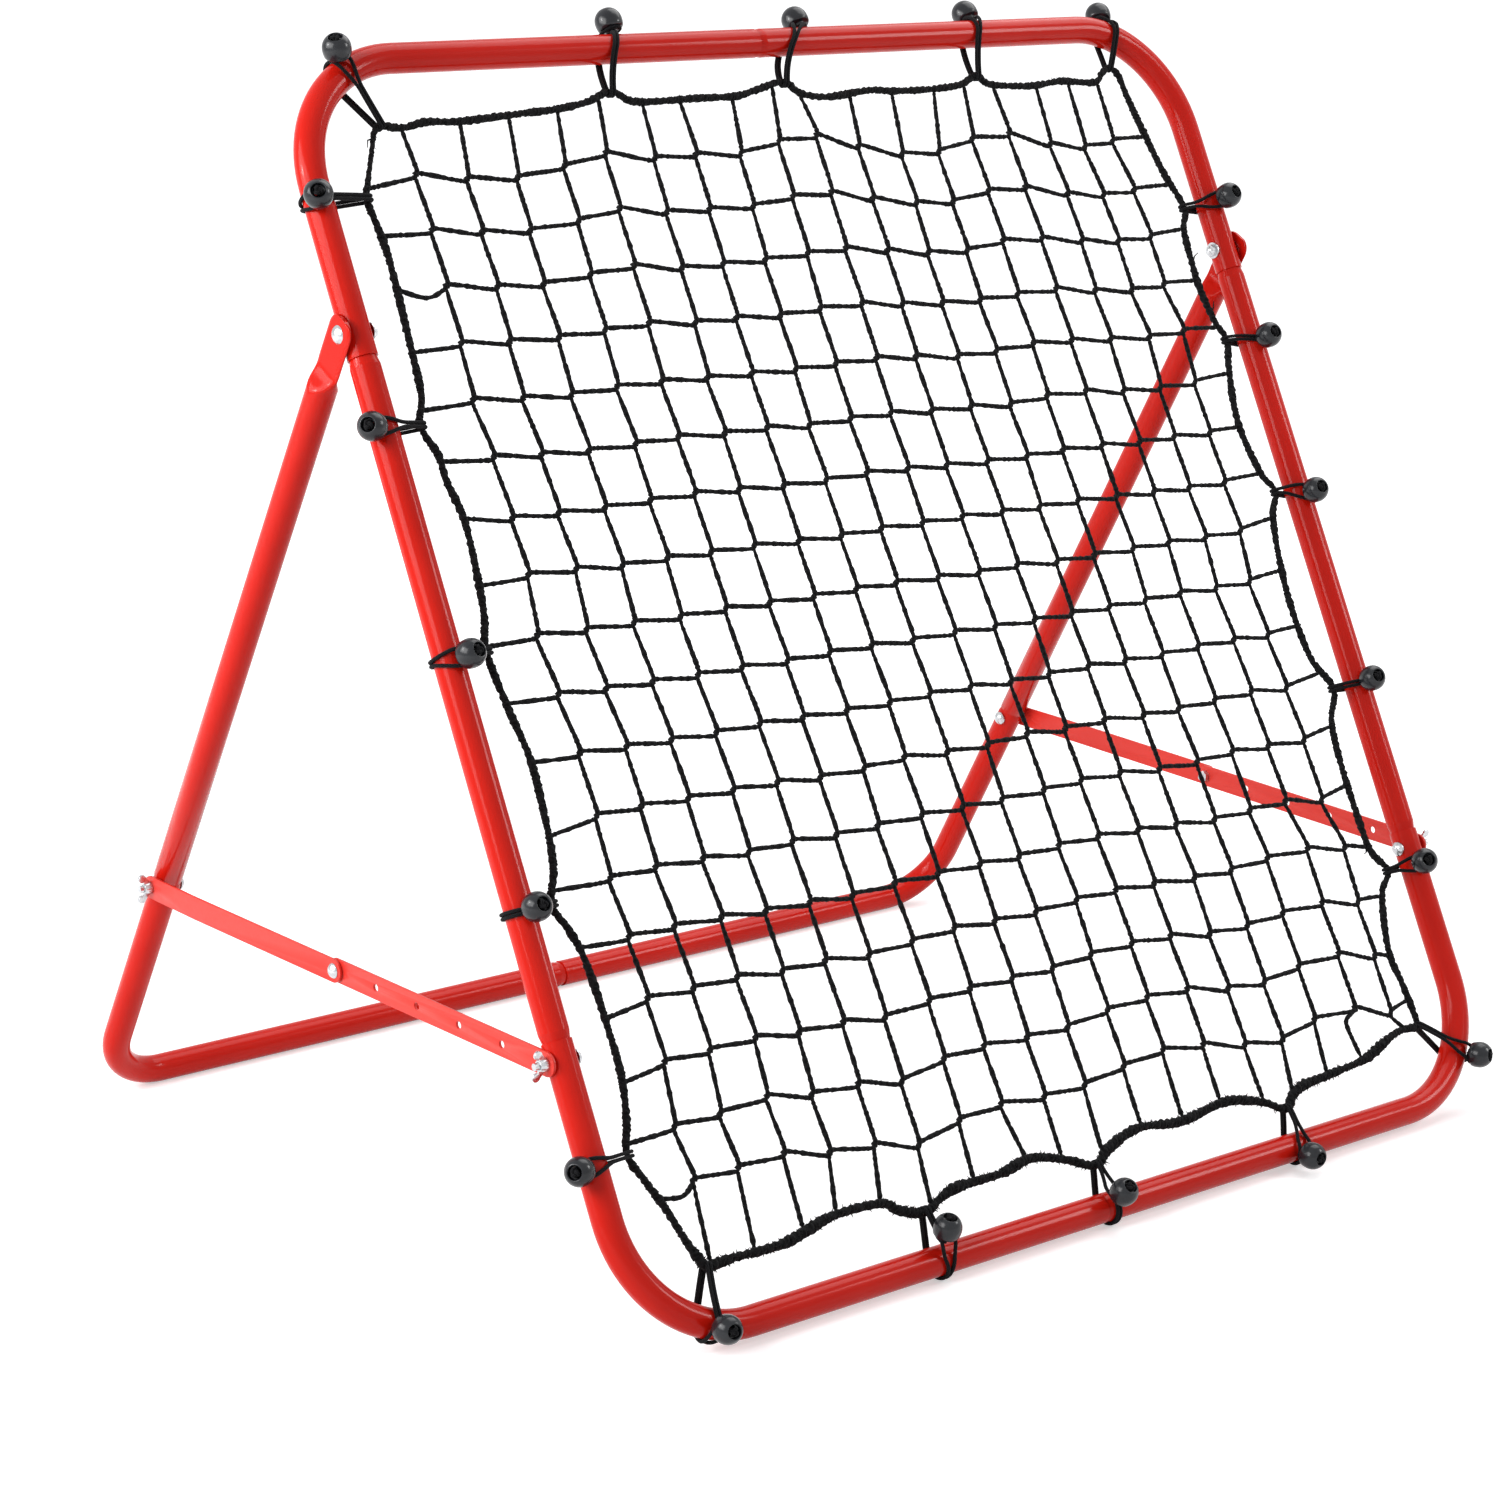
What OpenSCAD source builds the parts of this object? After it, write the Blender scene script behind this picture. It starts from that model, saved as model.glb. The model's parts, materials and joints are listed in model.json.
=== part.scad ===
// Folding pitch back rebounder: a leaning tube frame that holds a knotted net on ball-ended
// elastic ties, propped by a hinged rear stand and two jointed side stays.
// X runs across, the net faces -Y, +Z is up, and the origin is on the floor under the middle.

/* [Front frame] */
// Outside width of the front frame
frame_w = 1000; // [940:10:1060]
// Outside height of the front frame, measured along it
frame_h = 1065; // [1040:5:1110]
// Angle by which the front frame leans back from upright
frame_lean = 27.5; // [24:0.5:31]
// Bend radius of the four frame corners, at the tube's centreline
corner_r = 104; // [85:1:115]
// Length of a frame corner tube's side leg, from the rail's centreline to its mouth
corner_leg = 245; // [238:1:252]
// Place of the joint in the top and bottom rails, across from the middle
rail_joint_x = -6; // [-30:1:30]

/* [Tube] */
// Outside diameter of every tube
tube_d = 25; // [24:0.2:26]
// Wall of every tube
tube_wall = 1.2; // [1:0.1:1.4]
// Length of a swaged end inside its mate
spigot_in = 45; // [35:1:48]
// Length of the taper that shows at a swaged end
shoulder_len = 7; // [4:1:9]
// Gap all round between a swaged end and the tube that it slides into
slip_gap = 0.12; // [0.08:0.02:0.2]

/* [Rear stand] */
// Distance of the fold pivot below the top rail, measured down the front frame
pivot_down = 224; // [216:1:234]
// Length by which a rear leg is longer than the frame below the pivot, both to the rail's centreline
leg_more = 11; // [-15:1:35]
// Bend radius of the two rear corners, at the tube's centreline
rear_corner_r = 59; // [50:1:70]
// Distance from the base rail's centreline up to an upper leg's mouth
leg_mouth = 253; // [250:1:262]
// Place of the joint in the base rail, across from the middle
base_joint_x = 12; // [-30:1:30]
// Width of a leg's flattened top
flat_w = 31; // [28:0.5:33]
// Thickness of a leg's flattened top
flat_t = 3; // [2.6:0.1:3.4]
// Reach of the flat below the pivot
flat_below = 37; // [32:1:42]
// Reach of the flat above the pivot
flat_above = 14; // [12:0.5:15]
// Length of the crease between the flat and the round tube
crease_len = 16; // [12:1:22]

/* [Side stays] */
// Height of the front stay bolt, measured up the front frame
stay_low = 230; // [225:1:233]
// Height of the rear stay bolt, measured up the rear leg
stay_back = 243; // [241:1:245]
// Width of a stay bar
bar_w = 20; // [18:0.5:22]
// Thickness of a stay bar
bar_t = 2.2; // [1.8:0.1:2.6]
// Straight end of a rear bar, before it leans in towards the front frame
bar_straight = 70; // [66:1:80]
// Gap between the two bars of a stay where they cross
bar_gap = 0.7; // [0.7:0.1:1]
// Number of equal hole spaces along a front bar
bar_spaces = 5; // [4:1:6]

/* [Fasteners] */
// Diameter of every bolt's shank
bolt_d = 6; // [5:0.5:6.5]
// Running gap between a bolt and its hole
bolt_gap = 0.08; // [0.05:0.01:0.1]
// Diameter of a spare adjusting hole
spare_hole_d = 6.5; // [6:0.1:7]
// Diameter of a pivot bolt's dome head and its washer
pivot_head_d = 15; // [14:0.5:16]
// Diameter of a stay bolt's dome head and its washer
stay_head_d = 13; // [12:0.5:14]
// Height of every dome head
head_h = 3.6; // [3:0.1:4.2]
// Thickness of every washer
washer_t = 1.2; // [0.8:0.1:1.5]
// Width of every plain nut across its corners
nut_d = 11.5; // [11:0.1:12.5]
// Height of every plain nut
nut_h = 4.8; // [4.2:0.1:5.4]
// Height of a pivot's cap nut below its dome
cap_nut_h = 3.4; // [3:0.1:4]
// Span of a wing nut, tip to tip
wing_span = 26; // [23:0.5:29]
// Height of a wing nut's hub
wing_hub_h = 7; // [6:0.5:8]
// Height of a wing above the foot of its hub
wing_h = 12; // [10.5:0.5:13]
// Thickness of a wing
wing_t = 2; // [1.6:0.1:2.4]
// Length of bolt that stands out of a wing nut
bolt_tail = 4; // [2:0.5:6]

/* [Ball ties] */
// Diameter of a tie's ball
ball_d = 25; // [24:0.5:26]
// Diameter of the hollow in a ball's face
hollow_d = 11.5; // [10:0.5:12]
// Depth of the hollow in a ball's face
hollow_deep = 8; // [7:0.5:9]
// Diameter of the cord hole through a ball
ball_hole_d = 7.4; // [7:0.1:8]
// Depth of the flat at a ball's back, where it sits on its cord
ball_flat = 1.7; // [1.5:0.1:2]
// Diameter of the straight skirt below a ball's dome
skirt_d = 21.4; // [20.2:0.2:21.6]
// Diameter of the neck on which a ball stands
neck_d = 11.4; // [10.6:0.2:12]
// Height of the neck on which a ball stands
neck_h = 2.6; // [2.5:0.1:3.1]
// Diameter of the elastic cord
cord_d = 3; // [2.6:0.1:3.2]
// Gap between the two strands of a tie where they pass round the tube
strand_gap = 9; // [8:0.5:10]
// Gap between the elastic cord and what it passes round
cord_gap = 0.3; // [0.2:0.1:0.6]

/* [Net] */
// Number of squares across the net
squares_across = 17; // [14:1:17]
// Number of squares up the net
squares_up = 17; // [14:1:17]
// Thickness of the net's cord
net_cord = 3.2; // [2.6:0.1:3.8]
// Diameter of the rope round the net's edge
rope_d = 6; // [5:0.5:6.5]
// Sag of the edge rope between two ties, as a share of their distance
rope_sag = 0.065; // [0:0.005:0.09]

/* [Hidden] */
$fn = 48;
GAP = 0.1;

tube_r = tube_d / 2;
bore_r = tube_r - tube_wall;
spigot_r = bore_r - slip_gap;
half_w = frame_w / 2 - tube_r;
rail_gap = frame_h - tube_d;
pivot_up = rail_gap - pivot_down;
leg_len = pivot_up + leg_more;
cord_r = cord_d / 2;
run_r = cord_r - 0.15;
run_in = 0.5;
bend_thin = 0.03;

// The elastic ties pass under the bottom rail, so they hold it off the floor.
rail_z = tube_r + cord_gap + cord_d;
loop_r = tube_r + cord_gap + cord_r;
strand_z = (strand_gap + cord_d) / 2;
tie_loop_r = rope_d / 2 + cord_gap + cord_r;
tie_strand_z = cord_r + GAP;
ball_r = ball_d / 2;
ball_seat = loop_r + cord_r + 2 * GAP + ball_r - ball_flat;

// Heights and depths of the pivot, the base rail and the stay bolts
pivot_z = rail_z + pivot_up * cos(frame_lean);
leg_lean = acos((pivot_z - tube_r) / leg_len);
pivot_back = pivot_up * sin(frame_lean);
base_back = pivot_back + leg_len * sin(leg_lean);
stay_d = [stay_low * sin(frame_lean), rail_z + stay_low * cos(frame_lean)];
stay_c = [base_back - stay_back * sin(leg_lean), tube_r + stay_back * cos(leg_lean)];
stay_len = norm(stay_c - stay_d);
stay_rise = asin((stay_c[1] - stay_d[1]) / stay_len);
bar_len = stay_len / 2;
hole_pitch = bar_len / bar_spaces;

// The origin is under the middle of the whole depth, from the lowest balls to the base rail.
front_reach = ball_seat + ball_r * cos(asin(hollow_d / ball_d));
rail_y = (front_reach - base_back - tube_r) / 2;

// Planes across the frame, out from the middle
leg_x = half_w + tube_r + washer_t + 2 * GAP + flat_t / 2;
front_bar_x = half_w + tube_r + 2 * GAP;
rear_bar_x = leg_x + tube_r + 2 * GAP;
bar_tilt = (rear_bar_x - front_bar_x - bar_t - bar_gap) / (stay_len - bar_straight);

// Where each tie sits: place along its tube, turn of its ball round the tube from the front
// towards the outside, and the point of the net's edge that it holds (across, up the frame)
SIDES = ["top", "left", "right", "bottom"];
ties_top = [
    [-434, 47, [-412, 985]],
    [-152, 96, [-174, 1003]],
    [58, 112, [16, 1004]],
    [261, 112, [242, 1001]],
    [419, 108, [412, 1003]]
];
ties_left = [
    [923, 31, [-443, 924]],
    [736, 51, [-453, 736]],
    [547, -10, [-451, 551]],
    [346, 2, [-457, 348]],
    [145, 57, [-453, 148]]
];
ties_right = [
    [860, 4, [454, 860]],
    [722, -5, [456, 729]],
    [570, -8, [459, 579]],
    [387, -12, [455, 388]],
    [212, -24, [453, 213]]
];
ties_bottom = [
    [-422, 18, [-411, 49]],
    [-187, -47, [-187, 40]],
    [3, -18, [5, 35]],
    [229, 26, [238, 33]],
    [463, 28, [431, 69]]
];
tie_lists = [ties_top, ties_left, ties_right, ties_bottom];
// The ties are placed on a frame of this width and height, and move with its tubes.
tie_frame = [975, 1040];

function tie_point(p) = [
    p[0] + sign(p[0]) * (half_w - tie_frame[0] / 2) * (abs(p[0]) > tie_frame[0] / 3 ? 1 : 0),
    p[1] + (rail_gap - tie_frame[1]) * (p[1] > tie_frame[1] / 2 ? 1 : 0)
];
function tie_edges(list) = [for (t = list) tie_point(t[2])];

RED = "#c41a1a";
BAR_RED = "#d83a32";
ZINC = "#c9cdd0";
BLACK = "#151517";
CHARCOAL = "#2b2d30";

// Lays a drawing on the front frame's plane: x across, y up the frame, z towards the front.
module on_frame() {
    translate([0, rail_y, rail_z]) rotate([90 - frame_lean, 0, 0]) children();
}

// Lays a drawing on the rear stand's plane: x across, y up the legs, z towards the front.
module on_stand() {
    translate([0, rail_y + base_back, tube_r]) rotate([90 + leg_lean, 0, 0]) children();
}

// Lays a drawing on the line of the stays: x across, y from the front bolt to the rear one.
module on_stay() {
    translate([0, rail_y + stay_d[0], stay_d[1]]) rotate([stay_rise, 0, 0]) children();
}

// Draws its children on the right, or mirrored on the left.
module hand(side) {
    mirror([side == "left" ? 1 : 0, 0, 0]) children();
}

// A cylinder along X from x0 to x1.
module x_rod(x0, x1, r) {
    translate([x0, 0, 0]) rotate([0, 90, 0]) cylinder(r = r, h = x1 - x0);
}

// A round rod between two points.
module rod(a, b, r) {
    d = b - a;
    turn = [0, acos(d[2] / norm(d)), atan2(d[1], d[0])];
    translate(a) rotate(turn) cylinder(r = r, h = norm(d));
}

// A bolt hole along X right through a tube whose centreline is at x.
module tube_hole(x) {
    x_rod(x - tube_d, x + tube_d, bolt_d / 2 + bolt_gap);
}

// Outline of one end of a straight tube at height z, as [radius, height] points. A swaged
// end runs on past z into its mate, and way is 1 at the top and -1 at the bottom.
function end_outline(z, way, swaged, shell) = !swaged
    ? [[tube_r - shell, z]]
    : [
        [tube_r - shell, z - way * (shoulder_len + GAP)],
        [spigot_r - shell, z - way * GAP],
        [spigot_r - shell, z + way * spigot_in]
    ];
function backwards(list) = [for (i = [len(list) - 1:-1:0]) list[i]];

// A straight tube along Z between two mouth planes, with either end swaged or plain.
module straight_tube(z0, z1, swaged0, swaged1) {
    rotate_extrude() polygon(concat(
        backwards(end_outline(z0, -1, swaged0, 0)),
        end_outline(z1, 1, swaged1, 0),
        backwards(end_outline(z1, 1, swaged1, tube_wall)),
        end_outline(z0, -1, swaged0, tube_wall)
    ));
}

// An L-shaped tube: a rail arm along X from the joint at joint_x, a bend, and a side arm up Y.
// The bend's wall is a hair thinner than the arms' and runs a hair into them.
module corner_tube(side_x, bend_r, side_end, joint_x, rail_swaged, side_swaged) {
    bend_x = side_x - bend_r;
    rotate([0, 90, 0]) straight_tube(joint_x, bend_x + GAP, rail_swaged, false);
    translate([side_x, 0, 0]) rotate([-90, 0, 0]) straight_tube(bend_r - GAP, side_end, false, side_swaged);
    translate([bend_x, bend_r, 0]) rotate([0, 0, -90]) rotate_extrude(angle = 90)
        translate([bend_r, 0]) difference() {
            circle(r = tube_r - bend_thin);
            circle(r = bore_r + bend_thin);
        }
}

// A frame corner tube, drawn as a bottom right one. The left one takes the right one's end.
module frame_corner(side, hole_up) {
    left = side == "left";
    difference() {
        hand(side) corner_tube(half_w, corner_r, corner_leg,
            left ? -rail_joint_x : rail_joint_x, !left, false);
        hand(side) translate([0, hole_up, 0]) tube_hole(half_w);
    }
}

module bottom_tube(side) {
    color(RED) on_frame() frame_corner(side, stay_low);
}

module top_tube(side) {
    color(RED) on_frame() translate([0, rail_gap, 0]) mirror([0, 1, 0])
        frame_corner(side, rail_gap - pivot_up);
}

module side_tube(side) {
    color(RED) on_frame() hand(side) difference() {
        translate([half_w, 0, 0]) rotate([-90, 0, 0])
            straight_tube(corner_leg, rail_gap - corner_leg, true, true);
        translate([0, stay_low, 0]) tube_hole(half_w);
        translate([0, pivot_up, 0]) tube_hole(half_w);
    }
}

// The flattened top of a leg, with clipped corners round the pivot hole.
module leg_flat() {
    clip = flat_w / 4;
    translate([leg_x - flat_t / 2, leg_len, 0]) rotate([0, 90, 0]) linear_extrude(flat_t) polygon([
        [-flat_w / 2, -flat_below], [-flat_w / 2, flat_above - clip * 1.5], [-clip, flat_above],
        [clip, flat_above], [flat_w / 2, flat_above - clip * 1.5], [flat_w / 2, -flat_below]
    ]);
}

// The crease where the flat opens out into the round tube.
module leg_crease() {
    crease_top = leg_len - flat_below;
    hull() {
        translate([leg_x, crease_top + GAP / 2, 0]) cube([flat_t, GAP, flat_w], center = true);
        translate([leg_x, crease_top - crease_len, 0]) rotate([90, 0, 0])
            cylinder(r = tube_r, h = GAP, $fn = 32);
    }
}

module upper_leg(side) {
    leg_top = leg_len - flat_below - crease_len;
    color(RED) on_stand() hand(side) difference() {
        union() {
            leg_flat();
            leg_crease();
            translate([leg_x, 0, 0]) rotate([-90, 0, 0]) straight_tube(leg_mouth, leg_top, false, false);
        }
        translate([0, leg_len, 0]) x_rod(leg_x - flat_t, leg_x + flat_t, bolt_d / 2 + bolt_gap);
    }
}

module stand_corner(side) {
    left = side == "left";
    color(RED) on_stand() hand(side) difference() {
        corner_tube(leg_x, rear_corner_r, leg_mouth, left ? -base_joint_x : base_joint_x, left, true);
        translate([0, stay_back, 0]) tube_hole(leg_x);
    }
}

// Plan of a bar with round ends, from hole to hole along Y, as a slab along X.
module bar_plan(len, x0, x1) {
    x_rod(x0, x1, bar_w / 2);
    translate([0, len, 0]) x_rod(x0, x1, bar_w / 2);
    translate([x0, 0, -bar_w / 2]) cube([x1 - x0, len, bar_w]);
}

// Edge view of a bar whose inner face starts at x and leans out by tilt after a straight end.
module bar_edge(x, straight, tilt) {
    end = bar_len + bar_w;
    lean_x = x + tilt * (end - straight);
    translate([0, 0, -bar_w]) linear_extrude(2 * bar_w) polygon([
        [x, -bar_w], [x, straight], [lean_x, end],
        [lean_x + bar_t, end], [x + bar_t, straight], [x + bar_t, -bar_w]
    ]);
}

// The front bar, from the frame bolt towards the mid bolt, with its row of holes.
module stay_front(side) {
    color(BAR_RED) on_stay() hand(side) difference() {
        intersection() {
            bar_edge(front_bar_x, 0, bar_tilt);
            bar_plan(bar_len, front_bar_x - 1, rear_bar_x + bar_t + 1);
        }
        for (i = [0:bar_spaces]) translate([0, i * hole_pitch, 0])
            x_rod(half_w, rear_bar_x + tube_d, (i == 0 || i == bar_spaces)
                ? bolt_d / 2 + bolt_gap : spare_hole_d / 2);
    }
}

// The rear bar, from the leg bolt towards the mid bolt.
module stay_rear(side) {
    color(BAR_RED) on_stay() hand(side) translate([0, stay_len, 0]) mirror([0, 1, 0]) difference() {
        intersection() {
            bar_edge(rear_bar_x, bar_straight, -bar_tilt);
            bar_plan(bar_len, front_bar_x - 1, rear_bar_x + bar_t + 1);
        }
        for (y = [0, bar_len]) translate([0, y, 0])
            x_rod(half_w, rear_bar_x + tube_d, bolt_d / 2 + bolt_gap);
    }
}

// A dome-head bolt along X, from its head's flat side at x_head to its end at x_end.
module dome_bolt(x_head, x_end, d) {
    dome_r = (d * d / 4 + head_h * head_h) / (2 * head_h);
    shank = abs(x_head - x_end);
    translate([x_head, 0, 0]) rotate([0, x_head > x_end ? 90 : -90, 0]) rotate_extrude() {
        translate([0, -shank]) square([bolt_d / 2, shank + head_h / 2]);
        intersection() {
            square([d / 2, head_h]);
            translate([0, head_h - dome_r]) circle(r = dome_r);
        }
    }
}

// A low hexagonal nut along X with a shallow dome cap on the side away from the joint.
module cap_nut(x, way) {
    cap_r = nut_d * 0.43;
    translate([x, 0, 0]) rotate([0, way > 0 ? 90 : -90, 0]) difference() {
        union() {
            cylinder(d = nut_d, h = cap_nut_h, $fn = 6);
            rotate_extrude() intersection() {
                translate([0, cap_nut_h - cap_r / 2]) circle(r = cap_r);
                square([cap_r, cap_nut_h + cap_r]);
            }
        }
        translate([0, 0, -1]) cylinder(r = bolt_d / 2 + GAP / 2, h = cap_nut_h + 1 + GAP);
    }
}

module washer(x, d) {
    difference() {
        x_rod(x, x + washer_t, d / 2);
        x_rod(x - 1, x + washer_t + 1, bolt_d / 2 + 2 * GAP);
    }
}

// Stacks along X on the right side, from the middle outwards
frame_in_x = half_w - tube_r - GAP - washer_t;
rear_in_x = leg_x - tube_r - GAP - washer_t;
front_nut_x = front_bar_x + bar_t + 2 * GAP;
rear_nut_x = rear_bar_x + bar_t + 2 * GAP;
mid_front_x = front_bar_x + bar_tilt * bar_len;
mid_rear_x = rear_bar_x - bar_tilt * (bar_len - bar_straight);
mid_clear = bar_tilt * nut_d / 2 + GAP;

module at_pivot(side) {
    on_frame() translate([0, pivot_up, 0]) hand(side) children();
}

module at_front_stay(side) {
    on_frame() translate([0, stay_low, 0]) hand(side) children();
}

module at_rear_stay(side) {
    on_stand() translate([0, stay_back, 0]) hand(side) children();
}

module at_mid_stay(side) {
    on_stay() translate([0, bar_len, 0]) hand(side) children();
}

module pivot_bolt(side) {
    color(ZINC) at_pivot(side)
        dome_bolt(leg_x + flat_t / 2 + GAP, frame_in_x - GAP - cap_nut_h, pivot_head_d);
}

module pivot_nut(side) {
    color(ZINC) at_pivot(side) cap_nut(frame_in_x - GAP, -1);
}

module pivot_washers() {
    color(ZINC) for (side = ["left", "right"]) at_pivot(side) {
        washer(frame_in_x, pivot_head_d);
        washer(half_w + tube_r + GAP, pivot_head_d);
    }
}

module stay_front_bolt(side) {
    color(ZINC) at_front_stay(side)
        dome_bolt(frame_in_x - GAP, front_nut_x + wing_hub_h + bolt_tail, stay_head_d);
}

module stay_front_washers() {
    color(ZINC) for (side = ["left", "right"]) at_front_stay(side) washer(frame_in_x, stay_head_d);
}

module stay_rear_bolt(side) {
    color(ZINC) at_rear_stay(side)
        dome_bolt(rear_in_x - GAP, rear_nut_x + wing_hub_h + bolt_tail, stay_head_d);
}

module stay_rear_washers() {
    color(ZINC) for (side = ["left", "right"]) at_rear_stay(side) washer(rear_in_x, stay_head_d);
}

// The mid pivot is in two halves, one on each bar, so that the bars can part as they fold.
module stay_mid_bolt(side) {
    color(ZINC) at_mid_stay(side)
        dome_bolt(mid_rear_x + bar_t + mid_clear, mid_rear_x + GAP, stay_head_d);
}

module stay_mid_nut(side) {
    color(ZINC) at_mid_stay(side) {
        translate([mid_front_x - mid_clear - nut_h, 0, 0]) rotate([0, 90, 0])
            cylinder(d = nut_d, h = nut_h, $fn = 6);
        x_rod(mid_front_x - mid_clear - nut_h - GAP, mid_front_x + bar_t - GAP, bolt_d / 2);
    }
}

// A wing nut whose foot is at x, with its wings pointing out along X.
module wing_nut(x) {
    foot_r = wing_span * 0.21;
    top_r = wing_span * 0.17;
    tip_r = wing_span * 0.14;
    difference() {
        translate([x, 0, 0]) {
            rotate([0, 90, 0]) cylinder(r1 = foot_r, r2 = top_r, h = wing_hub_h);
            translate([0, 0, -wing_t / 2]) linear_extrude(wing_t) for (way = [0, 1]) mirror([0, way]) {
                translate([wing_h - tip_r, wing_span / 2 - tip_r]) circle(r = tip_r);
                polygon([
                    [1, 0], [1, foot_r], [wing_h * 0.45, wing_span / 2 - tip_r * 0.6],
                    [wing_h - tip_r, wing_span / 2], [wing_h, wing_span / 2 - tip_r],
                    [wing_h - tip_r * 1.4, wing_span / 2 - tip_r * 1.9], [wing_hub_h - 1, 0]
                ]);
            }
        }
        x_rod(x - 1, x + wing_h + 1, bolt_d / 2 + bolt_gap);
    }
}

module wing_nut_front(side) {
    color(ZINC) at_front_stay(side) rotate([35, 0, 0]) wing_nut(front_nut_x);
}

module wing_nut_rear(side) {
    color(ZINC) at_rear_stay(side) rotate([-25, 0, 0]) wing_nut(rear_nut_x);
}

// Angle round a bend at which a place along the rail or side falls, or 0 on a straight run.
function bend_turn(over) = over <= 0 ? 0 : asin(min(1, over / corner_r));

// Outward direction of the frame's tube at a tie.
function tie_out(side, s) =
    side == "top" || side == "bottom"
    ? let (q = bend_turn(abs(s) - (half_w - corner_r)))
        [sign(s) * sin(q), (side == "top" ? 1 : -1) * cos(q)]
    : let (q = max(bend_turn(s - (rail_gap - corner_r)), bend_turn(corner_r - s)))
        [(side == "right" ? 1 : -1) * cos(q), (s > rail_gap / 2 ? 1 : -1) * sin(q)];

// Point on the tube's centreline at a tie.
function tie_foot(side, s, out) =
    side == "top" || side == "bottom"
    ? let (cx = abs(s) > half_w - corner_r ? sign(s) * (half_w - corner_r) : s,
        cy = side == "top" ? rail_gap - corner_r : corner_r)
        [cx, cy] + corner_r * out
    : let (cx = (side == "right" ? 1 : -1) * (half_w - corner_r),
        cy = min(max(s, corner_r), rail_gap - corner_r))
        [cx, cy] + corner_r * out;

// Places along a frame that has grown or shrunk, so that a tie keeps to its tube.
function tie_along(side, s) =
    side == "top" || side == "bottom"
    ? s + sign(s) * (half_w - tie_frame[0] / 2) * (abs(s) > tie_frame[0] / 3 ? 1 : 0)
    : s + (rail_gap - tie_frame[1]) * (s > tie_frame[1] / 2 ? 1 : 0);

// Sets up a tie's own axes at its tube: x in towards the net, y to the front, z along the tube.
module at_tie(side, tie) {
    s = tie_along(side, tie[0]);
    out = tie_out(side, s);
    foot = tie_foot(side, s, out);
    on_frame() translate([foot[0], foot[1], 0]) rotate([0, 0, atan2(-out[1], -out[0])])
        rotate([90, 0, 0]) children();
}

// The net's edge as a tie sees it: [distance in from the tube, distance along the tube].
function tie_reach(side, tie) =
    let (s = tie_along(side, tie[0]), out = tie_out(side, s),
        away = tie_point(tie[2]) - tie_foot(side, s, out))
    [-away * out, -(away[0] * out[1] - away[1] * out[0])];

// Direction of a tie's ball from the tube, as an angle from the way in towards the net.
function ball_angle(tie) = 90 + tie[1];
function wrap_angle(reach) = acos((loop_r - tie_loop_r) / reach[0]);
// How far the strands have run off the tube's round where the ball sits.
function run_off(tie, reach) = max(0, wrap_angle(reach) - ball_angle(tie));
function ball_out(tie, reach) =
    ball_seat / cos(run_off(tie, reach)) + (run_off(tie, reach) > 0 ? ball_flat : 0);
knot_len = hollow_deep * 0.7;

// One strand: round the tube, straight to the net's edge, round the edge rope and back.
// Its straight runs are a hair thinner than its bends, and end a hair inside them.
module strand(reach, along0, along1) {
    wrap = wrap_angle(reach);
    translate([0, 0, along0]) rotate([0, 0, wrap]) rotate_extrude(angle = 360 - 2 * wrap)
        translate([loop_r, 0]) circle(r = cord_r);
    translate([reach[0], 0, along1]) rotate([0, 0, -wrap]) rotate_extrude(angle = 2 * wrap)
        translate([tie_loop_r, 0]) circle(r = cord_r);
    for (way = [-1, 1]) {
        a = [loop_r * cos(wrap), way * loop_r * sin(wrap), along0];
        b = [reach[0] + tie_loop_r * cos(wrap), way * tie_loop_r * sin(wrap), along1];
        past = run_in * (b - a) / norm(b - a);
        rod(a - past, b + past, run_r);
    }
}

// A tie's cord: two strands, the bar where they meet under the ball, and the knotted tails.
module tie_cord(side, tie) {
    reach = tie_reach(side, tie);
    off = run_off(tie, reach);
    seat_r = loop_r / cos(off);
    knot_x = ball_out(tie, reach) + ball_r - hollow_deep + knot_len / 2 + GAP - seat_r;
    share = loop_r * tan(off) / (reach[0] * sin(wrap_angle(reach)));
    bar_z = [
        for (way = [-1, 1]) (1 - share) * way * strand_z + share * (reach[1] + way * tie_strand_z)
            + way * cord_r * 0.3
    ];
    at_tie(side, tie) {
        for (way = [-1, 1]) strand(reach, way * strand_z, reach[1] + way * tie_strand_z);
        rotate([0, 0, ball_angle(tie)]) translate([seat_r, 0, 0]) {
            rod([0, 0, bar_z[0]], [0, 0, bar_z[1]], cord_r * 0.88);
            for (way = [-1, 1]) rod([0, 0, way * (cord_r + GAP / 2)],
                [knot_x, 0, way * (cord_r + GAP / 2)], cord_r * 0.84);
            translate([knot_x, 0, 0]) rotate([0, 90, 0]) cord_knot();
        }
    }
}

// The knot that keeps the tails from pulling back through the ball.
module cord_knot() {
    wide = hollow_d * 0.3;
    rotate_extrude() polygon([
        [0, -knot_len / 2], [wide * 0.7, -knot_len / 2], [wide, -knot_len / 5],
        [wide, knot_len / 5], [wide * 0.7, knot_len / 2], [0, knot_len / 2]
    ]);
}

module elastic(side, list) {
    color(BLACK) for (tie = list) tie_cord(side, tie);
}

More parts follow.
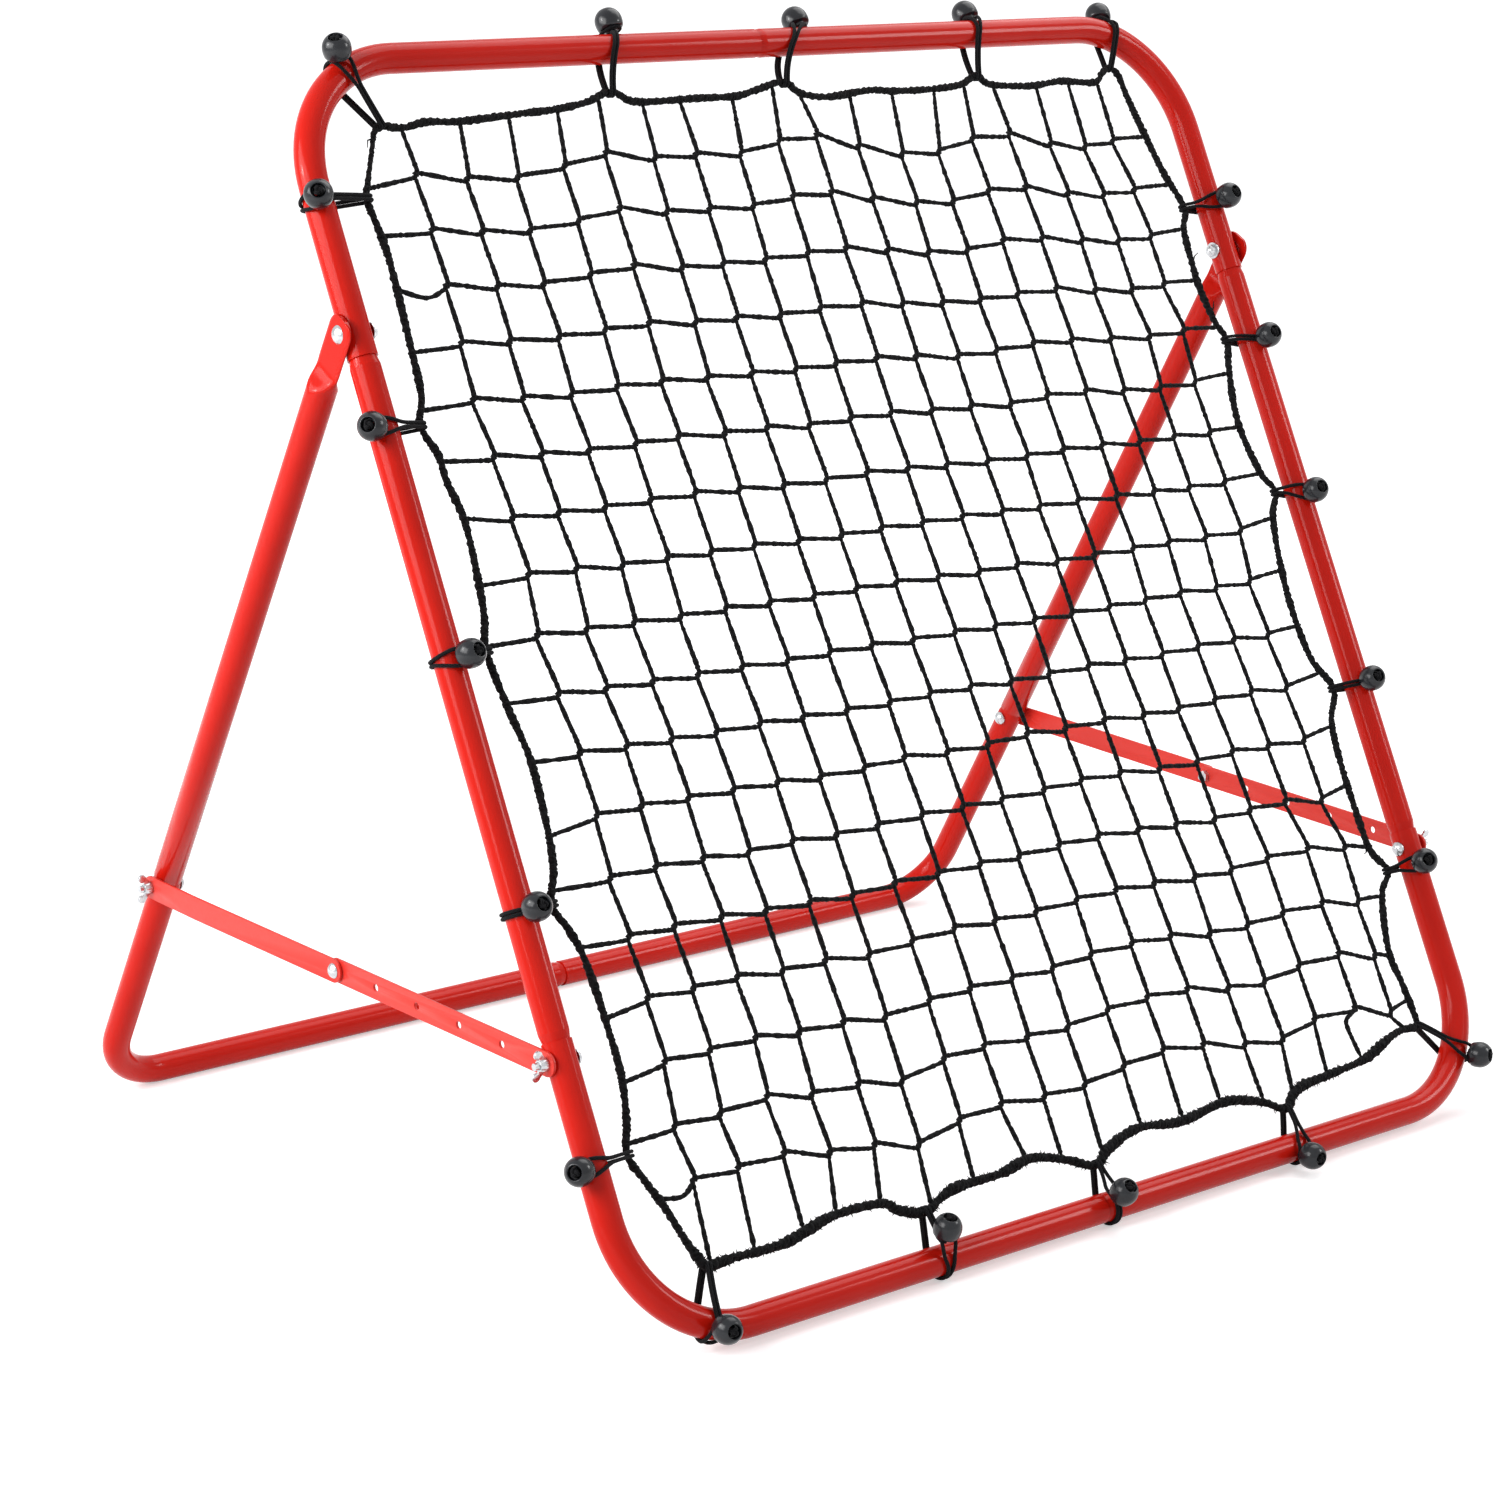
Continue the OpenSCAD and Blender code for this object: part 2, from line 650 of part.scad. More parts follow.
// A ball with a hollow in its face, a cord hole through it, a skirt and a neck to stand on.
module ball(side, tie) {
    out = ball_out(tie, tie_reach(side, tie));
    back = ball_flat - ball_r;
    color(CHARCOAL) at_tie(side, tie) rotate([0, 0, ball_angle(tie)]) translate([out, 0, 0])
        rotate([0, 90, 0]) rotate_extrude() difference() {
            union() {
                circle(r = ball_r);
                translate([0, back + neck_h / 2]) square([skirt_d / 2, -back - neck_h / 2]);
            }
            translate([-ball_d, -ball_d]) square([ball_d + ball_hole_d / 2, 2 * ball_d]);
            translate([0, ball_r - hollow_deep]) square([hollow_d / 2, ball_d]);
            translate([0, back - ball_d]) square([ball_d, ball_d]);
            translate([neck_d / 2, back - ball_d]) square([ball_d, ball_d + neck_h]);
        }
}

// Ties in order along each edge of the net, corners included
edge_top = tie_edges(ties_top);
edge_bottom = tie_edges(ties_bottom);
edge_left = concat([edge_top[0]], tie_edges(ties_left), [edge_bottom[0]]);
edge_right = concat([edge_top[4]], tie_edges(ties_right), [edge_bottom[4]]);

// Distance along an edge from its first tie to tie i.
function edge_run(edge, i) = i == 0 ? 0 : edge_run(edge, i - 1) + norm(edge[i] - edge[i - 1]);
function span_of(edge, run, i = 0) =
    i >= len(edge) - 2 || edge_run(edge, i + 1) >= run ? i : span_of(edge, run, i + 1);

// Point at share f between ties i and i + 1, with the rope's sag towards the net's middle.
function span_point(edge, inward, i, f) =
    let (a = edge[i], b = edge[i + 1])
    a + f * (b - a) + inward * rope_sag * norm(b - a) * (1 - pow(abs(2 * f - 1), 2.5));

// Point at share u of a whole edge.
function edge_point(edge, inward, u) =
    let (run = u * edge_run(edge, len(edge) - 1), i = span_of(edge, run),
        a = edge_run(edge, i), b = edge_run(edge, i + 1))
    span_point(edge, inward, i, min(1, (run - a) / (b - a)));

// The rope sags least along the top and most along the bottom.
sag_top = [0, -0.75];
sag_bottom = [0, 1.3];
sag_left = [1.05, 0];
sag_right = [-1.3, 0];
function top_at(u) = edge_point(edge_top, sag_top, u);
function bottom_at(u) = edge_point(edge_bottom, sag_bottom, u);
function left_at(v) = edge_point(edge_left, sag_left, v);
function right_at(v) = edge_point(edge_right, sag_right, v);

// The even grid in which the middle of the net hangs, and how the edges' pull fades inwards
grid_low = tie_point([-444, 58]);
grid_high = tie_point([442, 993]);
function grid_at(u, v) = [
    grid_low[0] + u * (grid_high[0] - grid_low[0]),
    grid_high[1] + v * (grid_low[1] - grid_high[1])
];
function fade(s) = pow(1 - s, 4);

// Point of the net at shares u across and v down.
function net_point(u, v) =
    grid_at(u, v)
    + fade(v) * (top_at(u) - grid_at(u, 0))
    + fade(1 - v) * (bottom_at(u) - grid_at(u, 1))
    + fade(u) * (left_at(v) - grid_at(0, v))
    + fade(1 - u) * (right_at(v) - grid_at(1, v))
    - fade(u) * fade(v) * (edge_top[0] - grid_at(0, 0))
    - fade(1 - u) * fade(v) * (edge_top[4] - grid_at(1, 0))
    - fade(u) * fade(1 - v) * (edge_bottom[0] - grid_at(0, 1))
    - fade(1 - u) * fade(1 - v) * (edge_bottom[4] - grid_at(1, 1));

// Points round the whole edge, clockwise from the top left, with several between two ties.
span_steps = 6;
function edge_line(edge, inward) = [
    for (i = [0:len(edge) - 2]) for (k = [0:span_steps - 1])
        span_point(edge, inward, i, k / span_steps)
];
edge_loop = concat(
    edge_line(edge_top, sag_top),
    edge_line(edge_right, sag_right),
    edge_line(backwards(edge_bottom), sag_bottom),
    edge_line(backwards(edge_left), sag_left)
);

// The four corners of the gap in square [i, j], half a cord in from the knots.
function gap_corners(i, j) =
    let (a = net_point(i / squares_across, j / squares_up),
        b = net_point((i + 1) / squares_across, j / squares_up),
        c = net_point((i + 1) / squares_across, (j + 1) / squares_up),
        d = net_point(i / squares_across, (j + 1) / squares_up),
        l = i == 0 ? net_cord : net_cord / 2,
        r = i == squares_across - 1 ? net_cord : net_cord / 2,
        t = j == 0 ? net_cord : net_cord / 2,
        f = j == squares_up - 1 ? net_cord : net_cord / 2)
    [a + [l, -t], b + [-r, -t], c + [-r, f], d + [l, f]];

module net_mesh() {
    gaps = [for (i = [0:squares_across - 1]) for (j = [0:squares_up - 1]) gap_corners(i, j)];
    points = concat(edge_loop, [for (g = gaps) for (p = g) p]);
    n = len(edge_loop);
    paths = concat([[for (k = [0:n - 1]) k]], [for (g = [0:len(gaps) - 1]) [for (k = [0:3]) n + 4 * g + k]]);
    color(BLACK) on_frame() translate([0, 0, -net_cord / 2]) linear_extrude(net_cord)
        polygon(points, paths);
}

// The edge rope, one closed tube of six sides.
module net_edge_rope() {
    sides = 6;
    n = len(edge_loop);
    rings = [
        for (k = [0:n - 1]) let (p = edge_loop[k], q = edge_loop[(k + 1) % n] - edge_loop[(k + n - 1) % n],
            out = [-q[1], q[0]] / norm(q))
            for (s = [0:sides - 1]) let (a = 360 * s / sides)
                [p[0] + out[0] * cos(a) * rope_d / 2, p[1] + out[1] * cos(a) * rope_d / 2, sin(a) * rope_d / 2]
    ];
    faces = [
        for (k = [0:n - 1]) for (s = [0:sides - 1])
            let (a = k * sides + s, b = k * sides + (s + 1) % sides,
                c = ((k + 1) % n) * sides + (s + 1) % sides, d = ((k + 1) % n) * sides + s)
                each [[a, b, c], [a, c, d]]
    ];
    color(BLACK) on_frame() polyhedron(points = rings, faces = faces);
}

for (side = ["left", "right"]) {
    top_tube(side);
    side_tube(side);
    bottom_tube(side);
    upper_leg(side);
    stand_corner(side);
    stay_front(side);
    stay_rear(side);
    pivot_bolt(side);
    pivot_nut(side);
    stay_front_bolt(side);
    stay_rear_bolt(side);
    stay_mid_bolt(side);
    stay_mid_nut(side);
    wing_nut_front(side);
    wing_nut_rear(side);
}
pivot_washers();
stay_front_washers();
stay_rear_washers();
net_mesh();
net_edge_rope();
for (k = [0:len(SIDES) - 1]) {
    elastic(SIDES[k], tie_lists[k]);
    for (i = [0:4]) {
        ball(SIDES[k], tie_lists[k][i]);
    }
}
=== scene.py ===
"""Looks of the folding pitch back rebounder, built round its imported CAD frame.

Sizes are written in millimetres and turned into metres by mm(). X runs across, the net
faces -Y and +Z is up, as in the part's source.
"""

import json
import math
import random

import bmesh
import bpy
from mathutils import Matrix, Vector


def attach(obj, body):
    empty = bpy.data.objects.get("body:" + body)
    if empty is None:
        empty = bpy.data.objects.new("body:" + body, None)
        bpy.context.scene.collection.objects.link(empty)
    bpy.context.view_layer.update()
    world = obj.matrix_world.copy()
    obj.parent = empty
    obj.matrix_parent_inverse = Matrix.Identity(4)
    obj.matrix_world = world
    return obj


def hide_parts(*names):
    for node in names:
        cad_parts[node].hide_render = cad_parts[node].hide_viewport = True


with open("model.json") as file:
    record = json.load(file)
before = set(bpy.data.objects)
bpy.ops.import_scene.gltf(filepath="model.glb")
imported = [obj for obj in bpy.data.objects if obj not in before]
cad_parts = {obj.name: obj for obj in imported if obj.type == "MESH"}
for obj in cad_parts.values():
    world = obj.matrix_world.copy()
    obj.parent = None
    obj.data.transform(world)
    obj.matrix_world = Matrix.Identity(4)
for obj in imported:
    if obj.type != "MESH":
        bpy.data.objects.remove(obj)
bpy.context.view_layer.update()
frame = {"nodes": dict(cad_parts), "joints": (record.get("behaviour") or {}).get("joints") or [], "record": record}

SIDES = ("left", "right")
HAND = {"left": -1, "right": 1}

# ------ Driving sizes, in millimetres, as in the part's source
GAP = 0.1

# Tubes: half width and height of the frame between centre lines, the corners' bend, and how
# far up the frame and up the legs the fold pivot is
FRAME_LEAN = math.radians(27.5)
HALF_W = 487.5
RAIL_GAP = 1040
CORNER_R = 104
PIVOT_UP = 816
LEG_LEN = 827
TUBE_R = 12.5
TUBE_WALL = 1.2
WASHER_T = 1.2

# Upper legs: the mouth by its way up the leg, the crease from round to flat by its distance
# from the pivot, and the flat that the pivot goes through
LEG_MOUTH = 253
LEG_ROUND = 53
LEG_FLAT = 33
LEG_FLAT_ABOVE = 14
LEG_FLAT_W = 31
LEG_FLAT_T = 3
LEG_X = HALF_W + TUBE_R + WASHER_T + 2 * GAP + LEG_FLAT_T / 2

# Ball ties: the elastic cord with its loops round the tube and the rope, and the ball with
# its dome, hollow, cord hole, neck and skirt
CORD_R = 1.5
CORD_GAP = 0.3
LOOP_R = TUBE_R + CORD_GAP + CORD_R
TIE_LOOP_R = 4.1
BALL_R = 12.5
BALL_FLAT = 1.7
HOLLOW_R = 5.75
HOLLOW_DEEP = 8
BALL_HOLE_R = 3.7
NECK_R = 5.7
NECK_H = 2.6
SKIRT_R = 10.5
BALL_SEAT = LOOP_R + CORD_R + 2 * GAP + BALL_R - BALL_FLAT

SQUARES_ACROSS = 19
SQUARES_UP = 19

# Where each tie sits: place along its tube, turn of its ball round the tube from the front
# towards the outside, the point of the edge rope that it holds (across, up the frame), and
# the side of the tube on which the loop comes back to hook round the ball's neck
TIES = {
    "top": [(-434, 47, (-412, 985), "front"), (-152, 96, (-174, 1003), "back"),
            (58, 112, (16, 1004), "front"), (261, 112, (242, 1001), "front"),
            (419, 108, (412, 1003), "front")],
    "left": [(923, 31, (-443, 924), "back"), (736, 51, (-453, 736), "front"),
             (547, -10, (-451, 551), "back"), (346, 2, (-457, 348), "front"),
             (145, 57, (-453, 148), "front")],
    "right": [(860, 4, (454, 860), "front"), (722, -5, (456, 729), "back"),
              (570, -8, (459, 579), "front"), (387, -12, (455, 388), "back"),
              (212, -24, (453, 213), "front")],
    "bottom": [(-422, 18, (-411, 49), "back"), (-187, -47, (-187, 40), "back"),
               (3, -18, (5, 35), "front"), (229, 26, (238, 33), "front"),
               (463, 28, (431, 69), "front")],
}


def mm(value):
    """Millimetres to metres, for a number or a vector."""
    return value * 0.001


def ease(share):
    """0 to 1, slow at both ends."""
    share = min(1.0, max(0.0, share))
    return share * share * (3 - 2 * share)


def new_object(name, data):
    """A new object of the scene round its data."""
    thing = bpy.data.objects.new(name, data)
    bpy.context.scene.collection.objects.link(thing)
    return thing


# ------ The two planes that the pieces are laid out on
FOLD = next(joint for joint in frame["joints"] if joint["name"] == "stand_fold")
ACROSS = Vector((1, 0, 0))
PIVOT = Vector((0, *FOLD["pos_m"][1:]))
UP_FRAME = Vector((0, math.sin(FRAME_LEAN), math.cos(FRAME_LEAN)))
FRAME_FRONT = ACROSS.cross(UP_FRAME)
BOTTOM_RAIL = PIVOT - mm(PIVOT_UP) * UP_FRAME
LEG_LEAN = math.acos((PIVOT.z - mm(TUBE_R)) / mm(LEG_LEN))
UP_LEG = Vector((0, -math.sin(LEG_LEAN), math.cos(LEG_LEAN)))
LEG_FRONT = ACROSS.cross(UP_LEG)
BASE_RAIL = PIVOT - mm(LEG_LEN) * UP_LEG


def on_frame(x, up, front=0.0):
    """A point in millimetres on the front frame's plane, as metres in the part's frame."""
    return BOTTOM_RAIL + mm(x) * ACROSS + mm(up) * UP_FRAME + mm(front) * FRAME_FRONT


def on_stand(x, up, front=0.0):
    """A point in millimetres on the rear stand's plane, as metres in the part's frame."""
    return BASE_RAIL + mm(x) * ACROSS + mm(up) * UP_LEG + mm(front) * LEG_FRONT


# ------ Camera, floor and light
PICTURE_HEIGHT = 1500
CAMERA_PLACE = Vector((-2.0916, -2.3898, 1.1763))
CAMERA_AZIMUTH = math.radians(-40.232)
CAMERA_ELEVATION = math.radians(15.422)
CAMERA_ROLL = math.radians(1.214)
FOCAL_PIXELS = 3709.4
OPTICAL_AXIS_OFFSET = (13.48, 30.84)


def make_camera():
    """The camera, front left of the net and a little above it."""
    data = bpy.data.cameras.new("camera")
    data.sensor_width = 36
    data.lens = FOCAL_PIXELS * data.sensor_width / PICTURE_HEIGHT
    data.shift_x = -OPTICAL_AXIS_OFFSET[0] / PICTURE_HEIGHT
    data.shift_y = OPTICAL_AXIS_OFFSET[1] / PICTURE_HEIGHT
    data.clip_end = 60
    a, e = CAMERA_AZIMUTH, CAMERA_ELEVATION
    back = Vector((math.sin(a) * math.cos(e), -math.cos(a) * math.cos(e), math.sin(e)))
    right = (-back).cross(Vector((0, 0, 1))).normalized()
    up = back.cross(right)
    turn = Matrix.Rotation(CAMERA_ROLL, 3, back)
    right, up = turn @ right, turn @ up
    camera = new_object("camera", data)
    camera.matrix_world = Matrix((right, up, back)).transposed().to_4x4()
    camera.location = CAMERA_PLACE
    bpy.context.scene.camera = camera
    bpy.context.scene.view_settings.view_transform = "Standard"


def make_lamp(name, place, aim, size, watts):
    """A soft rectangular lamp that looks from place to aim, all in metres."""
    data = bpy.data.lights.new(name, "AREA")
    data.shape = "RECTANGLE"
    data.size, data.size_y = size
    data.energy = watts
    lamp = new_object(name, data)
    lamp.location = place
    lamp.rotation_euler = (Vector(aim) - Vector(place)).to_track_quat("-Z", "Y").to_euler()


def make_lights():
    """Soft boxes at the left, the front right and overhead, which give the tubes their
    streaks. The small one at the left makes the bright core of the left streak."""
    make_lamp("soft_box_left", (-2.9, 0.35, 1.7), (0, 0.1, 0.7), (3.0, 1.7), 95)
    make_lamp("soft_box_core", (-2.75, 0.75, 1.75), (0, 0.1, 0.7), (0.28, 0.28), 14)
    make_lamp("soft_box_right", (2.35, -2.0, 1.95), (0, 0, 0.6), (0.9, 1.0), 30)
    make_lamp("top_light", (1.5, 0.3, 3.0), (0, 0.1, 0.5), (2.2, 2.6), 47)


def wire(links, node, inputs):
    """Sets a node's inputs to plain values, or links them to other nodes' outputs."""
    for key, value in inputs.items():
        if isinstance(value, bpy.types.NodeSocket):
            links.new(value, node.inputs[key])
        else:
            node.inputs[key].default_value = value
    return node


def calculator(nodes, links):
    """A function that adds one step of arithmetic to a node tree and gives its result."""
    def calculate(operation, *values):
        node = nodes.new("ShaderNodeMath")
        node.operation = operation
        return wire(links, node, dict(enumerate(values))).outputs[0]
    return calculate


def seen_directly(nodes, links):
    """1 for rays that show the background itself: from the camera, a gloss or a clear piece."""
    path = nodes.new("ShaderNodeLightPath").outputs
    calculate = calculator(nodes, links)
    direct = calculate("MAXIMUM", path["Is Camera Ray"], path["Is Glossy Ray"])
    return calculate("MAXIMUM", direct, path["Is Transmission Ray"])


WHITE = (1, 1, 1, 1)
ROOM_LIGHT = (0.95, 0.97, 1, 1)
ROOM_STRENGTH = 0.30
FLOOR_REACH = 30
FLOOR_GREY = (0.8, 0.8, 0.8, 1)
# How far out the floor's own glow starts and ends, in metres, and its strength there
GLOW = {"From Min": 0.8, "From Max": 2.4, "To Min": 0.50, "To Max": 1.0}


def make_world():
    """A white room: plain white where it is seen, softer where it lights."""
    world = bpy.data.worlds.new("studio")
    bpy.context.scene.world = world
    world.use_nodes = True
    nodes, links = world.node_tree.nodes, world.node_tree.links
    nodes.clear()
    lighting, seen = (
        wire(links, nodes.new("ShaderNodeBackground"), {"Color": colour, "Strength": strength})
        for colour, strength in ((ROOM_LIGHT, ROOM_STRENGTH), (WHITE, 1.0)))
    mix = wire(links, nodes.new("ShaderNodeMixShader"),
               {"Fac": seen_directly(nodes, links), 1: lighting.outputs[0], 2: seen.outputs[0]})
    wire(links, nodes.new("ShaderNodeOutputWorld"), {"Surface": mix.outputs[0]})


def make_floor():
    """A plain white floor that keeps the object's shadow and turns pure white far away."""
    mesh = bpy.data.meshes.new("floor")
    corners = [(-FLOOR_REACH, -FLOOR_REACH, 0), (FLOOR_REACH, -FLOOR_REACH, 0),
               (FLOOR_REACH, FLOOR_REACH, 0), (-FLOOR_REACH, FLOOR_REACH, 0)]
    mesh.from_pydata(corners, [], [(0, 1, 2, 3)])
    floor = new_object("floor", mesh)
    material = bpy.data.materials.new("floor_white")
    material.use_nodes = True
    nodes, links = material.node_tree.nodes, material.node_tree.links
    nodes.clear()
    distance = nodes.new("ShaderNodeVectorMath")
    distance.operation = "LENGTH"
    wire(links, distance, {0: nodes.new("ShaderNodeTexCoord").outputs["Object"]})
    glow = wire(links, nodes.new("ShaderNodeMapRange"),
                {"Value": distance.outputs["Value"], **GLOW}).outputs["Result"]
    strength = calculator(nodes, links)("MULTIPLY", seen_directly(nodes, links), glow)
    matt = wire(links, nodes.new("ShaderNodeBsdfDiffuse"), {"Color": FLOOR_GREY})
    lift = wire(links, nodes.new("ShaderNodeEmission"), {"Color": WHITE, "Strength": strength})
    both = wire(links, nodes.new("ShaderNodeAddShader"), {0: matt.outputs[0], 1: lift.outputs[0]})
    wire(links, nodes.new("ShaderNodeOutputMaterial"), {"Surface": both.outputs[0]})
    mesh.materials.append(material)


# ------ Materials
def new_material(name):
    """An empty procedural material: (material, its nodes, its links, its shader)."""
    material = bpy.data.materials.new(name)
    material.use_nodes = True
    nodes, links = material.node_tree.nodes, material.node_tree.links
    return material, nodes, links, nodes["Principled BSDF"]


def noise(nodes, links, scale, detail):
    """A noise texture on the object's own coordinates, in features per metre."""
    place = nodes.new("ShaderNodeTexCoord").outputs["Object"]
    texture = nodes.new("ShaderNodeTexNoise")
    wire(links, texture, {"Vector": place, "Scale": scale, "Detail": detail})
    return texture.outputs["Fac"]


def spread(nodes, links, value, low, high):
    """Maps the middle half of a noise to low..high."""
    span = wire(links, nodes.new("ShaderNodeMapRange"), {
        "Value": value, "From Min": 0.25, "From Max": 0.75, "To Min": low, "To Max": high})
    return span.outputs["Result"]


def tint(nodes, links, value, dark, light):
    """Mixes two colours by a noise."""
    ramp = nodes.new("ShaderNodeValToRGB")
    for stop, position, colour in zip(ramp.color_ramp.elements, (0.3, 0.7), (dark, light)):
        stop.position = position
        stop.color = (*colour, 1)
    return wire(links, ramp, {"Fac": value}).outputs["Color"]


def bump(nodes, links, height, strength, distance, shader):
    """Adds a bump of the given height in metres to a shader."""
    node = wire(links, nodes.new("ShaderNodeBump"),
                {"Strength": strength, "Distance": distance, "Height": height})
    wire(links, shader, {"Normal": node.outputs["Normal"]})


def paint(name, dark, light, roughness, gloss, peel):
    """Sprayed paint on steel: a faint colour drift, dull specks and the spray's orange peel."""
    material, nodes, links, shader = new_material(name)
    drift = noise(nodes, links, 9, 2)
    specks = noise(nodes, links, 260, 5)
    wire(links, shader, {
        "Base Color": tint(nodes, links, drift, dark, light),
        "Roughness": spread(nodes, links, specks, roughness * 0.9, roughness * 1.2),
        "Specular IOR Level": gloss})
    bump(nodes, links, noise(nodes, links, 170, 1), peel, 0.0004, shader)
    return material


def zinc():
    """Bright zinc plate with a faint grain and rubbed spots."""
    material, nodes, links, shader = new_material("bright_zinc")
    grain = noise(nodes, links, 700, 2)
    spots = noise(nodes, links, 240, 3)
    wire(links, shader, {
        "Metallic": 1.0,
        "Base Color": tint(nodes, links, spots, (0.46, 0.47, 0.49), (0.62, 0.63, 0.64)),
        "Roughness": spread(nodes, links, grain, 0.2, 0.3)})
    bump(nodes, links, grain, 0.1, 0.0001, shader)
    return material


def yarn(name, dark, light, strands, lay, depth):
    """Twisted or plaited yarn. Its strands run round by the angle in the attribute
    "around" and along by the length in the attribute "along"."""
    material, nodes, links, shader = new_material(name)
    calculate = calculator(nodes, links)

    def attribute(key, output):
        node = nodes.new("ShaderNodeAttribute")
        node.attribute_name = key
        return node.outputs[output]

    split = wire(links, nodes.new("ShaderNodeSeparateXYZ"), {0: attribute("around", "Vector")})
    angle = calculate("ARCTAN2", split.outputs["Y"], split.outputs["X"])
    turn = calculate("MULTIPLY", angle, strands)
    run = calculate("MULTIPLY", attribute("along", "Fac"), 2 * math.pi / lay)
    one_way = calculate("SINE", calculate("ADD", turn, run))
    other_way = calculate("SINE", calculate("SUBTRACT", turn, run))
    plait = calculate("MAXIMUM", one_way, other_way)
    fuzz = noise(nodes, links, 1300, 5)

    def blend(plait_share, fuzz_share):
        return calculate("ADD", calculate("MULTIPLY", plait, plait_share),
                         calculate("MULTIPLY", fuzz, fuzz_share))

    bump(nodes, links, blend(0.5, 0.9), 0.9, depth, shader)
    wire(links, shader, {
        "Base Color": tint(nodes, links, blend(0.25, 0.75), dark, light),
        "Roughness": spread(nodes, links, fuzz, 0.7, 0.95),
        "Sheen Weight": 0.03, "Sheen Roughness": 0.5, "Specular IOR Level": 0.1})
    return material


def moulded(name, dark, light, roughness, gloss):
    """Moulded rubber-like plastic: a fine grain and a few dull marks."""
    material, nodes, links, shader = new_material(name)
    marks = noise(nodes, links, 220, 4)
    wire(links, shader, {
        "Base Color": tint(nodes, links, noise(nodes, links, 60, 3), dark, light),
        "Roughness": spread(nodes, links, marks, roughness * 0.8, roughness * 1.25),
        "Specular IOR Level": gloss})
    bump(nodes, links, noise(nodes, links, 1500, 2), 0.12, 0.0002, shader)
    return material


FINISH = {
    "frame_paint": paint("frame_red_gloss", (0.57, 0.010, 0.004), (0.63, 0.014, 0.007),
                         roughness=0.14, gloss=0.13, peel=0.02),
    "stay_paint": paint("stay_red_satin", (0.66, 0.030, 0.020), (0.74, 0.040, 0.027),
                        roughness=0.34, gloss=0.3, peel=0.06),
    "zinc_hardware": zinc(),
    "net_cord": yarn("net_black_yarn", (0.0015, 0.0015, 0.0018), (0.011, 0.011, 0.012),
                     strands=2, lay=0.006, depth=0.0006),
    "elastic_cord": yarn("elastic_black_plait", (0.002, 0.002, 0.0025), (0.014, 0.014, 0.016),
                         strands=6, lay=0.0034, depth=0.0004),
    "tie_ball": moulded("ball_slate", (0.011, 0.012, 0.015), (0.019, 0.021, 0.025),
                        roughness=0.2, gloss=0.34),
}


# ------ Making pieces
# Points of a skin that are nearer than this, in metres, are one
SAME_POINT = 1e-7
# Softened edges: which points are one, which faces are one, which edges are sharp, and how
# far they are rounded off
SAME_PLACE = 2e-6
NEARLY_FLAT = math.radians(1)
SHARP_EDGE = math.radians(35)
EDGE_ROUNDING = 0.5


def finish_piece(piece, body, slot, *nodes):
    """Gives a finished piece its material, its body and the CAD nodes that it stands for."""
    piece.data.materials.clear()
    piece.data.materials.append(FINISH[slot])
    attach(piece, body)
    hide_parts(*nodes)


def smooth_mesh(name, work):
    """Turns a bmesh into a mesh of smooth faces."""
    for face in work.faces:
        face.smooth = True
    mesh = bpy.data.meshes.new(name)
    work.to_mesh(mesh)
    work.free()
    return mesh


def piece_from_rings(name, rings, joined=False):
    """A closed skin over rings of points, each ring going round the same way. Its two ends
    are filled, or joined to each other."""
    work = bmesh.new()
    rows = [[work.verts.new(p) for p in ring] for ring in rings]
    count = len(rows[0])
    for a, b in zip(rows, rows[1:] + rows[:1] if joined else rows[1:]):
        for k in range(count):
            work.faces.new((a[k], a[(k + 1) % count], b[(k + 1) % count], b[k]))
    if not joined:
        work.faces.new(rows[0][::-1])
        work.faces.new(rows[-1])
    bmesh.ops.remove_doubles(work, verts=work.verts, dist=SAME_POINT)
    bmesh.ops.recalc_face_normals(work, faces=work.faces)
    return new_object(name, smooth_mesh(name, work))


def softened_copy(name, node):
    """A copy of a CAD node whose sharp edges are rounded off."""
    work = bmesh.new()
    work.from_mesh(frame["nodes"][node].data)
    bmesh.ops.remove_doubles(work, verts=work.verts, dist=SAME_PLACE)
    bmesh.ops.dissolve_limit(work, angle_limit=NEARLY_FLAT, verts=work.verts, edges=work.edges)
    piece = new_object(name, smooth_mesh(name, work))
    bevel = piece.modifiers.new("edges", "BEVEL")
    bevel.width = mm(EDGE_ROUNDING)
    bevel.segments = 2
    bevel.limit_method = "ANGLE"
    bevel.angle_limit = SHARP_EDGE
    bevel.harden_normals = True
    depsgraph = bpy.context.evaluated_depsgraph_get()
    mesh = bpy.data.meshes.new_from_object(piece.evaluated_get(depsgraph))
    piece.modifiers.clear()
    piece.data = mesh
    return piece


